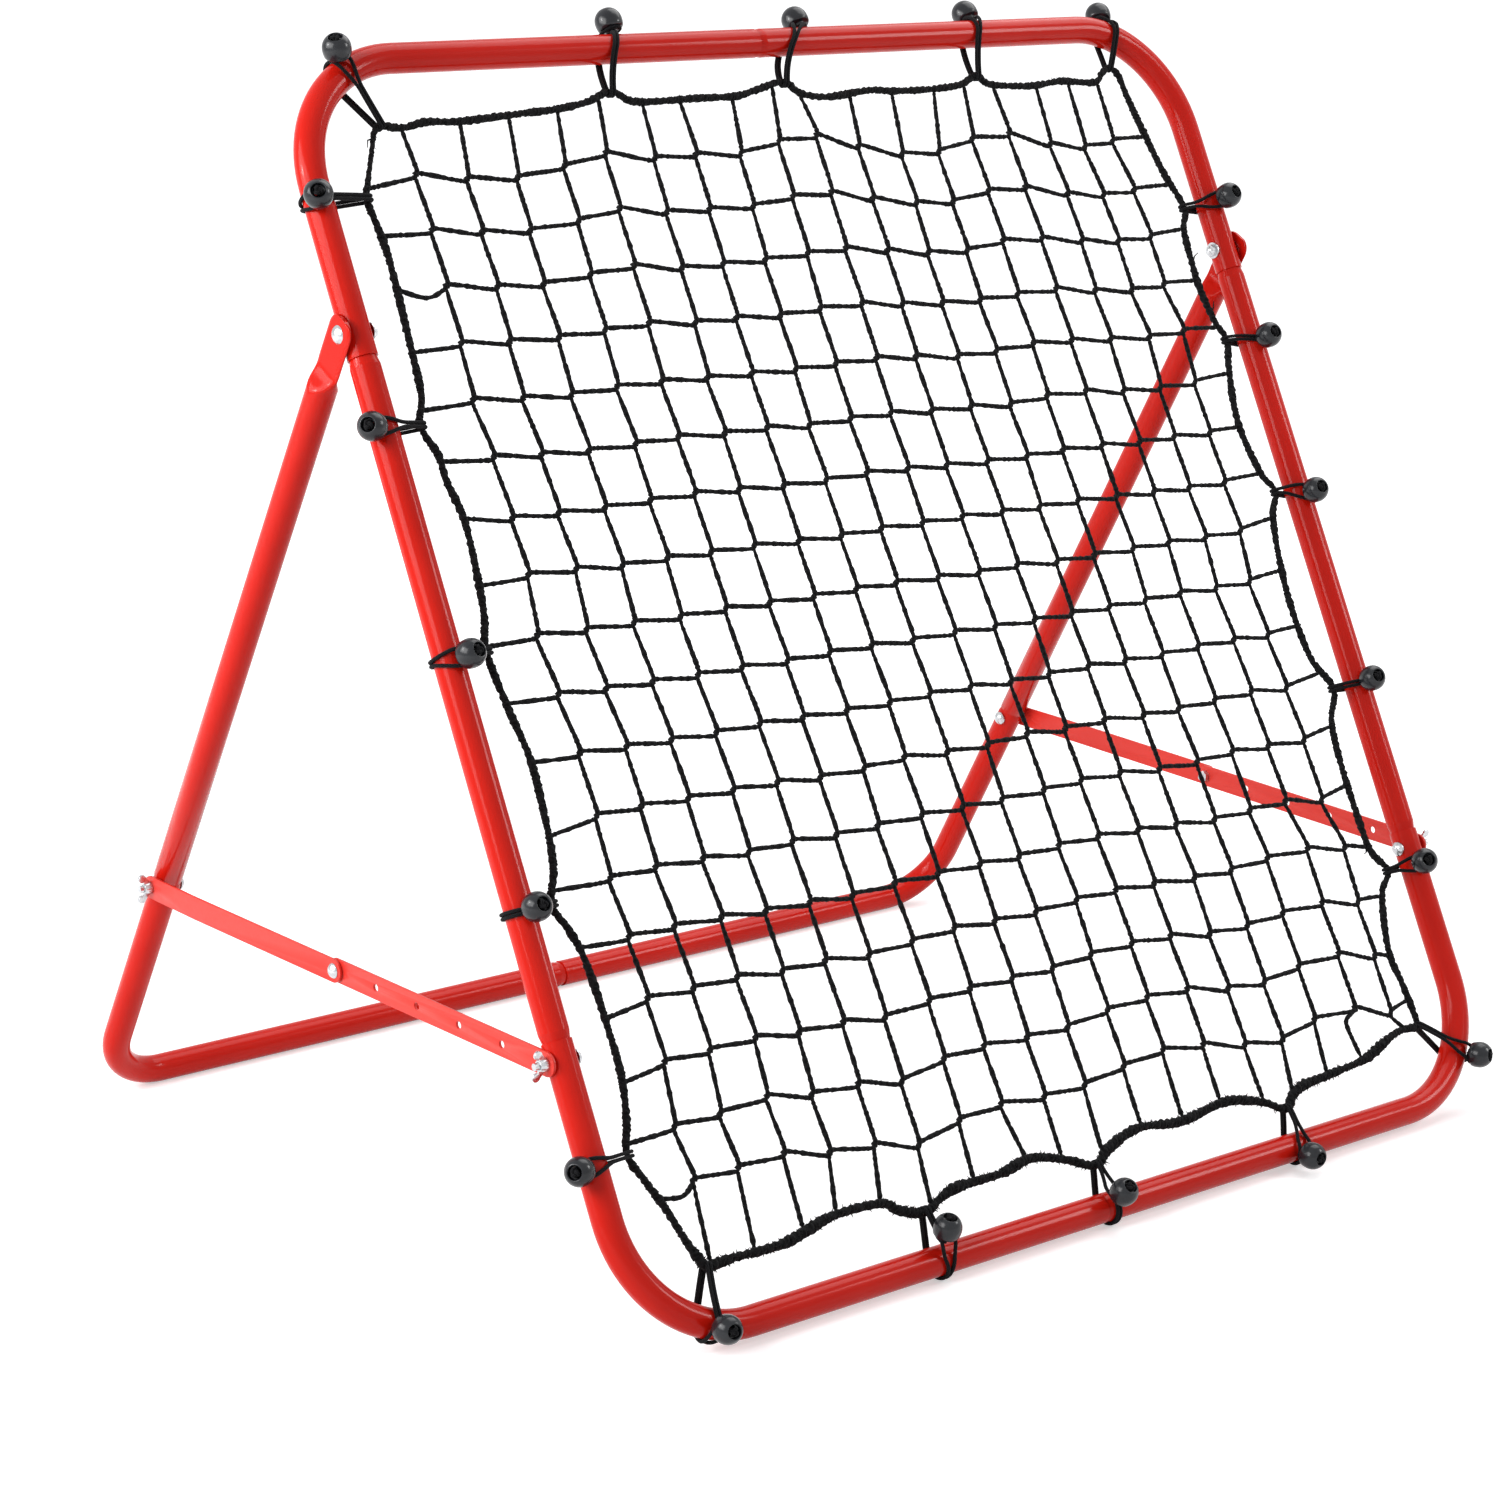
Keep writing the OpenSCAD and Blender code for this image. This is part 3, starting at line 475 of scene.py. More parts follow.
# ------ Cords, which Geometry Nodes lay along their routes
def build_cord_tree():
    """The node tree that makes a cord: a lobed round section, laid along a curve with a
    twist and a fuzz, with the attributes "along" and "around" for its yarn."""
    tree = bpy.data.node_groups.new("cord_along_route", "GeometryNodeTree")
    face = tree.interface
    face.new_socket("Route", in_out="INPUT", socket_type="NodeSocketGeometry")
    sockets = {}
    for name, kind in (("Sides", "Int"), ("Lobes", "Int"), ("Lobe depth", "Float"),
                       ("Twist", "Float"), ("Fuzz", "Float"), ("Fuzz scale", "Float"),
                       ("Seed", "Float"), ("Finish", "Material")):
        sockets[name] = face.new_socket(name, in_out="INPUT", socket_type="NodeSocket" + kind)
    face.new_socket("Cord", in_out="OUTPUT", socket_type="NodeSocketGeometry")
    nodes, links = tree.nodes, tree.links
    given = nodes.new("NodeGroupInput").outputs
    calculate = calculator(nodes, links)

    def step(kind, inputs):
        return wire(links, nodes.new(kind), inputs).outputs[0]

    def keep(name, data_type, geometry, value):
        """Stores a value on every point of a curve."""
        store = nodes.new("GeometryNodeStoreNamedAttribute")
        store.data_type, store.domain = data_type, "POINT"
        return wire(links, store, {"Name": name, "Geometry": geometry, "Value": value}).outputs[0]

    def scaled(vector, factor):
        node = nodes.new("ShaderNodeVectorMath")
        node.operation = "SCALE"
        return wire(links, node, {0: vector, "Scale": factor}).outputs[0]

    # The route keeps its length as it becomes the cord
    length = nodes.new("GeometryNodeSplineParameter").outputs["Length"]
    tilt = calculate("MULTIPLY", length, given["Twist"])
    route = keep("along", "FLOAT", given["Route"], length)
    route = step("GeometryNodeSetCurveTilt", {"Curve": route, "Tilt": tilt})

    # The section is a circle of radius 1, pressed in between its lobes
    position = nodes.new("GeometryNodeInputPosition").outputs[0]
    circle = step("GeometryNodeCurvePrimitiveCircle", {"Radius": 1.0, "Resolution": given["Sides"]})
    circle = keep("around", "FLOAT_VECTOR", circle, position)
    split = wire(links, nodes.new("ShaderNodeSeparateXYZ"), {0: position}).outputs
    angle = calculate("ARCTAN2", split["Y"], split["X"])
    half_turn = calculate("MULTIPLY", calculate("MULTIPLY", angle, given["Lobes"]), 0.5)
    lobe = calculate("ABSOLUTE", calculate("SINE", half_turn))
    dip = calculate("MULTIPLY", calculate("SUBTRACT", 1.0, lobe), given["Lobe depth"])
    pressed = scaled(position, calculate("SUBTRACT", 1.0, dip))
    section = step("GeometryNodeSetPosition", {"Geometry": circle, "Position": pressed})

    # The cord, as thick as the route's own radius, and its fuzz
    radius = nodes.new("GeometryNodeInputRadius").outputs[0]
    cord = step("GeometryNodeCurveToMesh", {"Curve": route, "Profile Curve": section,
                                            "Scale": radius, "Fill Caps": True})
    tuft = nodes.new("ShaderNodeTexNoise")
    tuft.noise_dimensions = "4D"
    wire(links, tuft, {"Vector": position, "W": given["Seed"], "Scale": given["Fuzz scale"],
                       "Detail": 2.0})
    swell = calculate("MULTIPLY", calculate("SUBTRACT", tuft.outputs["Fac"], 0.5), given["Fuzz"])
    push = scaled(nodes.new("GeometryNodeInputNormal").outputs[0], swell)
    cord = step("GeometryNodeSetPosition", {"Geometry": cord, "Offset": push})
    cord = step("GeometryNodeSetShadeSmooth", {"Geometry": cord})
    cord = step("GeometryNodeRealizeInstances", {"Geometry": cord})
    cord = step("GeometryNodeSetMaterial", {"Geometry": cord, "Material": given["Finish"]})
    wire(links, nodes.new("NodeGroupOutput"), {"Cord": cord})
    return tree, sockets


CORD_TREE, CORD_SOCKETS = build_cord_tree()


def make_cord(name, routes, slot, sides, lobes=2, lobe_depth=0.0, twist=0.0, fuzz=0.0,
              fuzz_scale=700, seed=0.0):
    """One piece of cord over several routes. A route is ([(point, radius)], cyclic), with
    its points in metres in the part's frame and its radius in millimetres."""
    curve = bpy.data.curves.new(name + "_route", "CURVE")
    curve.dimensions = "3D"
    for points, cyclic in routes:
        spline = curve.splines.new("POLY")
        spline.points.add(len(points) - 1)
        spline.use_cyclic_u = cyclic
        for target, (point, radius) in zip(spline.points, points):
            target.co = (*point, 1)
            target.radius = mm(radius)
    route = new_object(name + "_route", curve)
    modifier = route.modifiers.new("cord", "NODES")
    modifier.node_group = CORD_TREE
    given = {"Sides": sides, "Lobes": lobes, "Lobe depth": lobe_depth, "Twist": twist,
             "Fuzz": mm(fuzz), "Fuzz scale": fuzz_scale, "Seed": seed, "Finish": FINISH[slot]}
    for key, value in given.items():
        modifier[CORD_SOCKETS[key].identifier] = value
    depsgraph = bpy.context.evaluated_depsgraph_get()
    mesh = bpy.data.meshes.new_from_object(route.evaluated_get(depsgraph))
    mesh.name = name
    bpy.data.objects.remove(route)
    bpy.data.curves.remove(curve)
    work = bmesh.new()
    work.from_mesh(mesh)
    bmesh.ops.recalc_face_normals(work, faces=work.faces)
    work.to_mesh(mesh)
    work.free()
    return new_object(name, mesh)


def smooth_route(corners, step, cyclic=False):
    """Points every step along a rounded line through the corners (Catmull-Rom)."""
    count = len(corners)
    points = []
    for k in range(count if cyclic else count - 1):
        if cyclic:
            a, b, c, d = (corners[(k + n) % count] for n in (-1, 0, 1, 2))
        else:
            a, b, c, d = (corners[min(max(k + n, 0), count - 1)] for n in (-1, 0, 1, 2))
        steps = max(1, round((c - b).length / step))
        for s in range(steps):
            t = s / steps
            points.append(0.5 * (2 * b + (c - a) * t + (2 * a - 5 * b + 4 * c - d) * t ** 2
                                 + (3 * b - a - 3 * c + d) * t ** 3))
    if not cyclic:
        points.append(corners[-1].copy())
    return points


# ------ The net's edge rope: its route on the frame's plane, from tie to tie (across, up)
# Bends of the rope between two ties, by the tie that they follow, clockwise from the top left
ROPE_BENDS = {
    ("top", 0): [(-391, 981), (-367, 985), (-333, 984), (-267, 988), (-233, 990), (-200, 995)],
    ("top", 1): [(-156, 994), (-133, 992), (-87, 993), (-43, 993), (-16, 998)],
    ("top", 2): [(30, 993), (60, 988), (110, 992), (140, 990), (187, 990), (221, 993)],
    ("top", 3): [(252, 993), (268, 990), (307, 988), (345, 991), (387, 988), (400, 996)],
    ("top", 4): [(421, 994), (424, 973), (431, 938), (441, 896)],
    ("right", 0): [(445, 840), (442, 810), (442, 780), (448, 748)],
    ("right", 1): [(448, 703), (440, 670), (438, 645), (441, 622), (448, 596)],
    ("right", 2): [(446, 558), (437, 517), (433, 470), (438, 420)],
    ("right", 3): [(440, 360), (435, 325), (435, 280), (438, 236)],
    ("right", 4): [(438, 197), (428, 170), (422, 138), (427, 108)],
    ("bottom", 4): [(403, 70), (377, 63), (350, 55), (300, 51), (267, 49), (250, 43)],
    ("bottom", 3): [(218, 43), (197, 50), (167, 55), (113, 50), (67, 55), (43, 52), (19, 44)],
    ("bottom", 2): [(-20, 45), (-43, 53), (-67, 57), (-100, 52), (-147, 52), (-168, 47)],
    ("bottom", 1): [(-213, 48), (-228, 57), (-277, 59), (-310, 53), (-337, 49), (-385, 50)],
    ("bottom", 0): [(-422, 72), (-432, 100), (-444, 126)],
    ("left", 4): [(-445, 173), (-438, 208), (-438, 250), (-441, 300), (-448, 326)],
    ("left", 3): [(-446, 375), (-441, 410), (-439, 462), (-446, 505)],
    ("left", 2): [(-444, 578), (-440, 607), (-437, 655), (-443, 690), (-444, 712)],
    ("left", 1): [(-444, 760), (-441, 800), (-438, 870), (-440, 900)],
    ("left", 0): [(-438, 936), (-426, 962), (-418, 979)],
}

# First and last tie of each edge of the rope, counted in that order from 0 at the top left
EDGE_TIES = {"top": (0, 4), "right": (4, 10), "bottom": (10, 14), "left": (14, 20)}
CLOCKWISE = ("top", "right")
ROPE_STEP = 3.0


def tie_point(side, k):
    """The point of the edge rope that a tie holds."""
    return Vector(TIES[side][k][2])


def rope_edge(side):
    """One edge of the rope as corner points, from its first tie to its last, which run from
    the net's left or top end on every side."""
    order = list(ROPE_BENDS)
    first, last = EDGE_TIES[side]
    points = []
    for key in order[first:last]:
        points += [tie_point(*key)] + [Vector(p) for p in ROPE_BENDS[key]]
    points.append(tie_point(*order[last % len(order)]))
    return points if side in CLOCKWISE else points[::-1]


EDGE_LINES = {side: smooth_route(rope_edge(side), ROPE_STEP) for side in TIES}


def on_rope(side, place):
    """The point of the rope's centre line that is nearest to a place."""
    return min(EDGE_LINES[side], key=lambda p: (p - Vector(place)).length)


# ------ The net: where its outer cords end on the rope, and where its outer rows and columns of
# joints hang (across, up), from left to right or from top to bottom
ENDS = {
    "top": [(-390, 980), (-334, 982), (-282, 985), (-234, 988), (-187, 998), (-145, 990),
            (-102, 990), (-46, 992), (2, 999), (30, 990), (86, 988), (137, 990), (186, 988),
            (226, 993), (258, 988), (312, 990), (355, 990), (391, 988)],
    "bottom": [(-404, 53), (-361, 57), (-311, 58), (-275, 62), (-226, 60), (-181, 45), (-127, 57),
               (-68, 58), (-28, 52), (15, 47), (67, 58), (116, 55), (164, 58), (216, 48),
               (252, 47), (299, 55), (348, 58), (414, 72)],
    "left": [(-438, 932), (-437, 894), (-437, 846), (-437, 795), (-445, 747), (-441, 707),
             (-434, 659), (-437, 602), (-447, 554), (-443, 508), (-437, 458), (-438, 401),
             (-448, 356), (-439, 310), (-436, 253), (-436, 201), (-446, 153), (-432, 111)],
    "right": [(428, 932), (442, 883), (443, 840), (440, 788), (448, 739), (443, 697), (437, 645),
              (442, 596), (442, 556), (430, 505), (430, 451), (440, 400), (438, 356), (430, 297),
              (433, 237), (430, 194), (422, 137), (423, 94)],
}
OUTER_JOINTS = {
    "top": [(-390, 941), (-342, 935), (-293, 933), (-243, 940), (-197, 949), (-148, 942),
            (-103, 943), (-55, 941), (-9, 950), (35, 953), (79, 941), (126, 931), (170, 931),
            (215, 941), (261, 943), (308, 931), (350, 926), (388, 930)],
    "bottom": [(-399, 115), (-355, 115), (-308, 116), (-264, 107), (-218, 103), (-174, 93),
               (-125, 103), (-77, 106), (-29, 102), (18, 102), (67, 108), (116, 112), (164, 107),
               (212, 97), (258, 92), (304, 101), (357, 101), (400, 88)],
    "left": [(-390, 941), (-390, 894), (-391, 847), (-393, 799), (-397, 752), (-393, 704),
             (-392, 653), (-392, 606), (-400, 557), (-396, 508), (-392, 459), (-393, 408),
             (-397, 358), (-395, 310), (-394, 260), (-395, 209), (-403, 159), (-399, 115)],
    "right": [(388, 930), (396, 881), (399, 835), (397, 788), (404, 742), (398, 692), (397, 643),
              (397, 595), (398, 548), (390, 500), (392, 448), (395, 397), (397, 347), (396, 290),
              (406, 243), (402, 192), (402, 141), (400, 88)],
}
# Slack stretches: the bends of an upright or a crossing after one of its joints, counted
# from 0 at the rope
UPRIGHT_SLACK = {17: {18: [(343, 93), (342, 82)]}}
CROSSING_SLACK = {3: {0: [(-413, 839)]}, 18: {0: [(-414, 106)]}}

# The even middle of the net: its squares and how much it leans at the top and falls to the
# right; the outer joints pull on it, less and less towards the middle
GRID_LEFT_TOP = Vector((-444, 993.5))
SQUARE = Vector((46.63, -49.21))
GRID_LEAN = 8
GRID_FALL = 0.011
EDGE_PULL = 5
JOINT_SLACK = 1.2


def even_joint(i, j):
    """Joint of the free middle of the net."""
    x = GRID_LEFT_TOP.x + i * SQUARE.x
    lean = GRID_LEAN * (1 - j / SQUARES_UP) ** 3 * (1 - (i / SQUARES_ACROSS) ** 4)
    return Vector((x + lean, GRID_LEFT_TOP.y + j * SQUARE.y - GRID_FALL * x))


def net_joint(i, j):
    """Joint in column i and row j, between the outer ones and the even middle."""
    last_i, last_j = SQUARES_ACROSS - 1, SQUARES_UP - 1

    def fade(share):
        return (1 - share) ** EDGE_PULL

    u, v = (i - 1) / (last_i - 1), (j - 1) / (last_j - 1)
    left, right, top, bottom = fade(u), fade(1 - u), fade(v), fade(1 - v)
    point = even_joint(i, j)
    for side, k, at_i, at_j, weight in (
        ("top", i - 1, i, 1, top), ("bottom", i - 1, i, last_j, bottom),
        ("left", j - 1, 1, j, left), ("right", j - 1, last_i, j, right),
        ("top", 0, 1, 1, -left * top), ("top", -1, last_i, 1, -right * top),
        ("bottom", 0, 1, last_j, -left * bottom), ("bottom", -1, last_i, last_j, -right * bottom),
    ):
        point += weight * (Vector(OUTER_JOINTS[side][k]) - even_joint(at_i, at_j))
    return point


# How a net cord runs from a joint's middle to where it leaves the other cord, how far in
# front or behind it lies there, and where along the cord, in squares, the joint starts and ends
UPRIGHT_STEP = Vector((-1.7, -2.3))
CROSSING_STEP = Vector((2.1, 1.9))
BESIDE = 0.5
JOINT_FROM, JOINT_TO = -0.02, 0.05
KNIT_STEP = 2.0
# Radii of the net's cords: on the rope, of an upright at a joint and what it swells by
# until FULL_AT of the square, of a crossing, and by what share they vary
ON_ROPE_R = 1.3
JOINT_R = 1.62
SWELL_R = 0.48
FULL_AT = 0.45
CROSSING_R = 2.05
UNEVEN = (0.82, 1.2)
# The turn round the rope: its reach from the rope's middle, the last one's place along the
# cord, and how near to its place a cord still lies on the rope
TURN_REACH = 2.36
LAST_TURN = SQUARES_UP - 0.2
ON_TURN = 0.02


def rope_turn(at, towards, place):
    """The turn that a net cord takes round the edge rope, as points of a net line."""
    inward = (towards - at).normalized()
    turn = []
    for k in range(12):
        a = math.radians(-15 + 27 * k)
        flat = at + inward * TURN_REACH * math.cos(a)
        turn.append(Vector((*flat, TURN_REACH * math.sin(a), place)))
    return turn


def net_line(start, joints, end, step, front, slack):
    """One cord of the net, from its turn round the rope through its joints to the other
    turn, as points (across, up, front, place), where place counts the squares."""
    line = rope_turn(start, joints[0], 0)[::-1]
    line += [Vector((*p, 0, 0.5)) for p in slack.get(0, [])]
    for k, at in enumerate(joints, 1):
        line.append(Vector((*(at - step), front, k + JOINT_FROM)))
        line.append(Vector((*(at + step), front, k + JOINT_TO)))
        line += [Vector((*p, 0, k + 0.5)) for p in slack.get(k, [])]
    return line + rope_turn(end, joints[-1], LAST_TURN)


def net_cord_route(line, radius_at, pick):
    """Lays a cord along a net line, with its radius by its place in a square."""
    points = []
    for p in smooth_route(line, KNIT_STEP):
        on_the_rope = p.w < ON_TURN or p.w > LAST_TURN - 2 * ON_TURN
        radius = ON_ROPE_R if on_the_rope else radius_at(p.w % 1.0) * pick.uniform(*UNEVEN)
        points.append((on_frame(p.x, p.y, p.z), radius))
    return points, False


def make_net():
    """Knotless net: uprights and crossings run side by side through a short joint."""
    pick = random.Random(61)
    joints = {}
    for i in range(1, SQUARES_ACROSS):
        for j in range(1, SQUARES_UP):
            inner = 1 < i < SQUARES_ACROSS - 1 and 1 < j < SQUARES_UP - 1
            loose = [pick.uniform(-JOINT_SLACK, JOINT_SLACK) for _ in range(2)] if inner else (0, 0)
            joints[i, j] = net_joint(i, j) + Vector(loose)

    def swelling(share):
        return JOINT_R + SWELL_R * min(1.0, share / FULL_AT)

    def even(share):
        return CROSSING_R

    uprights, crossings = [], []
    for i in range(1, SQUARES_ACROSS):
        top, bottom = (on_rope(side, ENDS[side][i - 1]) for side in ("top", "bottom"))
        column = [joints[i, j] for j in range(1, SQUARES_UP)]
        line = net_line(top, column, bottom, UPRIGHT_STEP, BESIDE, UPRIGHT_SLACK.get(i, {}))
        uprights.append(net_cord_route(line, swelling, pick))
    for j in range(1, SQUARES_UP):
        left, right = (on_rope(side, ENDS[side][j - 1]) for side in ("left", "right"))
        row = [joints[i, j] for i in range(1, SQUARES_ACROSS)]
        line = net_line(left, row, right, CROSSING_STEP, -BESIDE, CROSSING_SLACK.get(j, {}))
        crossings.append(net_cord_route(line, even, pick))
    for name, routes, seed in (("net_uprights", uprights, 3.0), ("net_crossings", crossings, 9.0)):
        piece = make_cord(name, routes, "net_cord", 7, fuzz=1.5, fuzz_scale=620, seed=seed)
        finish_piece(piece, "front_frame", "net_cord", "net_mesh")


# The edge rope's radius: its least, what loose strands add with their lumps and roughness,
# and what fluff and its tufts add to that below FLUFF_TOP; a tie's loop draws it in over
# HOLD_RUN, and it is thin round THIN_TOP
ROPE_LEAST_R = 2.2
ROPE_LOOSE, LUMPS, ROUGH = 1.15, 0.3, 0.42
FLUFF, TUFTS = 0.3, 1.3
FLUFF_TOP, FLUFF_FADE = 80, 22
DRAWN_IN, HOLD_RUN = 0.72, 9
THIN_TOP, THIN_REACH, THIN_FADE = Vector((-428, 958)), 14, 20
ROPE_LAY = -0.021
ROPE_FINE_STEP = 1.5
# Its hairs: how many of the places have one, and their radius at root and tip
HAIR_SHARE = 0.8
HAIR_R = (0.34, 0.1)
# Loose ends of cord that stick out of the edge rope
LOOSE_ENDS = [[(443, 807), (447, 812), (453, 815)], [(447, 756), (451, 761), (454, 767)],
              [(-422, 973), (-427, 972), (-429, 966)], [(433, 238), (431, 234), (428, 233)]]


def make_hair(at, surface, pick, stretch):
    """A short fibre that stands off a cord, from a point on the frame's plane."""
    a, lean = pick.uniform(0, 2 * math.pi), pick.uniform(-1.6, 1.6)
    b = pick.uniform(0, 2 * math.pi)
    root = Vector((math.cos(a) * math.cos(b), math.sin(a) * math.cos(b), math.sin(b)))
    length = pick.uniform(0.5, 1.7) * stretch
    tip = at.to_3d() + root * (surface + length) + Vector((lean, -lean, 0)) * 0.6
    line = (at.to_3d() + root * surface, tip)
    return [(on_frame(*p), r * stretch) for p, r in zip(line, HAIR_R)], False


def make_edge_rope():
    """Three-strand rope through the net's edge, with its fluff and a few loose ends."""
    pick = random.Random(17)
    corners = []
    for side in EDGE_TIES:
        line = EDGE_LINES[side] if side in CLOCKWISE else EDGE_LINES[side][::-1]
        corners += line[:-1]
    holds = [tie_point(side, k) for side in TIES for k in range(5)]
    route, hairs = [], []
    for k, p in enumerate(smooth_route(corners, ROPE_FINE_STEP, cyclic=True)):
        slack = min(1.0, max(0.0, ((p - THIN_TOP).length - THIN_REACH) / THIN_FADE))
        nearest = min((p - hold).length for hold in holds)
        drawn_in = DRAWN_IN + (1 - DRAWN_IN) * ease(nearest / HOLD_RUN)
        lumps = LUMPS * math.sin(k * 0.21 + 2 * math.sin(k * 0.047)) + pick.uniform(-ROUGH, ROUGH)
        low = ease((FLUFF_TOP - p.y) / FLUFF_FADE)
        tufts = 0.5 + 0.5 * math.sin(k * 0.11 + 1.3 * math.sin(k * 0.031))
        loose = ROPE_LOOSE + lumps + low * (FLUFF + TUFTS * tufts)
        radius = (ROPE_LEAST_R + loose * slack) * drawn_in
        route.append((on_frame(p.x, p.y), radius))
        for _ in range(1 + round(3 * low)):
            if pick.random() < HAIR_SHARE:
                hairs.append(make_hair(p, radius * 0.85, pick, 1 + low))
    ends = [([(on_frame(*p, 1.0), 0.9 - 0.25 * k) for k, p in enumerate(line)], False)
            for line in LOOSE_ENDS]
    for piece in (
        make_cord("edge_rope", [(route, True)], "net_cord", 18, lobes=3, lobe_depth=0.22,
                  twist=2 * math.pi / ROPE_LAY, fuzz=2.4, fuzz_scale=520, seed=5.0),
        make_cord("edge_rope_fluff", hairs, "net_cord", 3),
        make_cord("edge_rope_loose_ends", ends, "net_cord", 6, fuzz=0.4, seed=7.0),
    ):
        finish_piece(piece, "front_frame", "net_cord", "net_edge_rope")


# ------ The ball ties
# The elastic cord as drawn: its radius and half the distance of its two strands, on the
# rope and in the ball's hole
STRAND_R = 1.6
STRAND_SIDE = 1.7
HOLE_SIDE = 1.5
CORD_STEP = 0.0016
TUBE_STEPS = 40
# The way from the ball over which a strand comes down from the neck, and over which it
# comes in from the neck's side; a strand from the hole is free of the ball after FREE_RUN
NECK_RUN = 14
SIDE_RUN = 30
FREE_RUN = 2.5
KNOT_SIZE = 0.98
KNOT_FLAT = 1.5
# The ball is drawn a little smaller than its CAD dome, and its hollow has a round lip
BALL_SLACK = 0.7
LIP = 0.7
BALL_SIDES = 40


def bend_turn(over):
    """Angle round a corner at which a place along the tube falls."""
    return math.asin(min(1.0, max(0.0, over) / CORNER_R))


class Tie:
    """One tie's own axes at its tube: inwards to the net, front, and along the tube."""

    def __init__(self, side, place, turn, hold, hooked):
        self.hooked = hooked
        flat_half, bend_up = HALF_W - CORNER_R, RAIL_GAP - CORNER_R
        towards = 1 if side in ("top", "right") else -1
        if side in ("top", "bottom"):
            q = bend_turn(abs(place) - flat_half)
            self.out = Vector((math.copysign(math.sin(q), place), towards * math.cos(q)))
            middle = Vector((min(max(place, -flat_half), flat_half),
                             bend_up if side == "top" else CORNER_R))
        else:
            q = max(bend_turn(place - bend_up), bend_turn(CORNER_R - place))
            self.out = Vector((towards * math.cos(q),
                               math.copysign(math.sin(q), place - RAIL_GAP / 2)))
            middle = Vector((towards * flat_half, min(max(place, CORNER_R), bend_up)))
        self.foot = middle + CORNER_R * self.out
        self.along = Vector((-self.out.y, self.out.x))
        away = Vector(hold) - self.foot
        self.reach = -away.dot(self.out)
        self.slide = away.dot(self.along)
        self.wrap = math.acos((LOOP_R - TIE_LOOP_R) / self.reach)
        self.ball_angle = math.radians(90 + turn)
        run_off = max(0.0, self.wrap - self.ball_angle)
        self.seat = LOOP_R / math.cos(run_off)
        self.ball_out = BALL_SEAT / math.cos(run_off) + (BALL_FLAT if run_off > 0 else 0)
        self.neck_out = self.ball_out - BALL_R + BALL_FLAT + NECK_H / 2

    def point(self, inward, front, along):
        """A point given in the tie's own axes."""
        flat = self.foot - inward * self.out + along * self.along
        return on_frame(flat.x, flat.y, front)

    def from_tube(self, radius, angle, along):
        """A point given round the tube."""
        return self.point(radius * math.cos(angle), radius * math.sin(angle), along)

    def beside_ball(self, distance):
        """A shift round the tube at the ball, in metres."""
        round_tube = self.from_tube(1, self.ball_angle + math.pi / 2, 0) - self.from_tube(0, 0, 0)
        return distance * round_tube

    def round_line(self):
        """The cord's flat way round the tube and the rope, back to where it starts at the
        ball, as [(inward, front, share of the way to the rope)]. It leaves by the back."""
        wrap, line = self.wrap, []
        for k in range(TUBE_STEPS):
            a = wrap + (2 * math.pi - 2 * wrap) * k / TUBE_STEPS
            line.append((LOOP_R * math.cos(a), LOOP_R * math.sin(a), 0.0))
        start = (LOOP_R * math.cos(wrap), -LOOP_R * math.sin(wrap))
        end = (self.reach + TIE_LOOP_R * math.cos(wrap), -TIE_LOOP_R * math.sin(wrap))
        steps = max(2, round(math.dist(start, end) / 1.8))
        straight = [(*(s + (e - s) * k / steps for s, e in zip(start, end)), k / steps)
                    for k in range(steps)]
        line += straight
        for k in range(13):
            a = -wrap + 2 * wrap * k / 12
            line.append((self.reach + TIE_LOOP_R * math.cos(a), TIE_LOOP_R * math.sin(a), 1.0))
        line += [(x, -y, share) for x, y, share in straight[:0:-1]]
        seat = (self.seat * math.cos(self.ball_angle), self.seat * math.sin(self.ball_angle))
        first = min(range(len(line)), key=lambda k: math.dist(line[k][:2], seat))
        return line[first:] + line[:first]

    def half(self, by_back, way):
        """One strand's way from the ball to the middle of the rope's turn, by one side."""
        line = self.round_line()
        if not by_back:
            line = line[:1] + line[:0:-1]
        hooked = by_back == (self.hooked == "back")
        lift = self.neck_out - self.seat
        halfway = next(k for k, (x, y, share) in enumerate(line) if share == 1.0 and abs(y) < 0.6)
        whole = sum(math.dist(a[:2], b[:2]) for a, b in zip(line[:halfway], line[1:halfway + 1]))
        run, points = 0.0, []
        for k, (x, y, _) in enumerate(line[:halfway]):
            ahead, behind = line[(k + 1) % len(line)], line[k - 1]
            tangent = Vector((ahead[0] - behind[0], ahead[1] - behind[1])).normalized()
            if k:
                run += math.dist(line[k - 1][:2], (x, y))
            normal = Vector((tangent.y, -tangent.x)) * (1 if by_back else -1)
            near = ease(1 - run / NECK_RUN) if hooked else 0.0
            sideways = ease(1 - run / SIDE_RUN) if hooked else 0.0
            side = STRAND_SIDE + (NECK_R + CORD_R - STRAND_SIDE) * sideways
            if hooked or run > FREE_RUN:
                x, y = x + normal.x * lift * near, y + normal.y * lift * near
                slid = run / whole * (2 - run / whole)
                points.append(self.point(x, y, slid * self.slide + way * side))
        return points

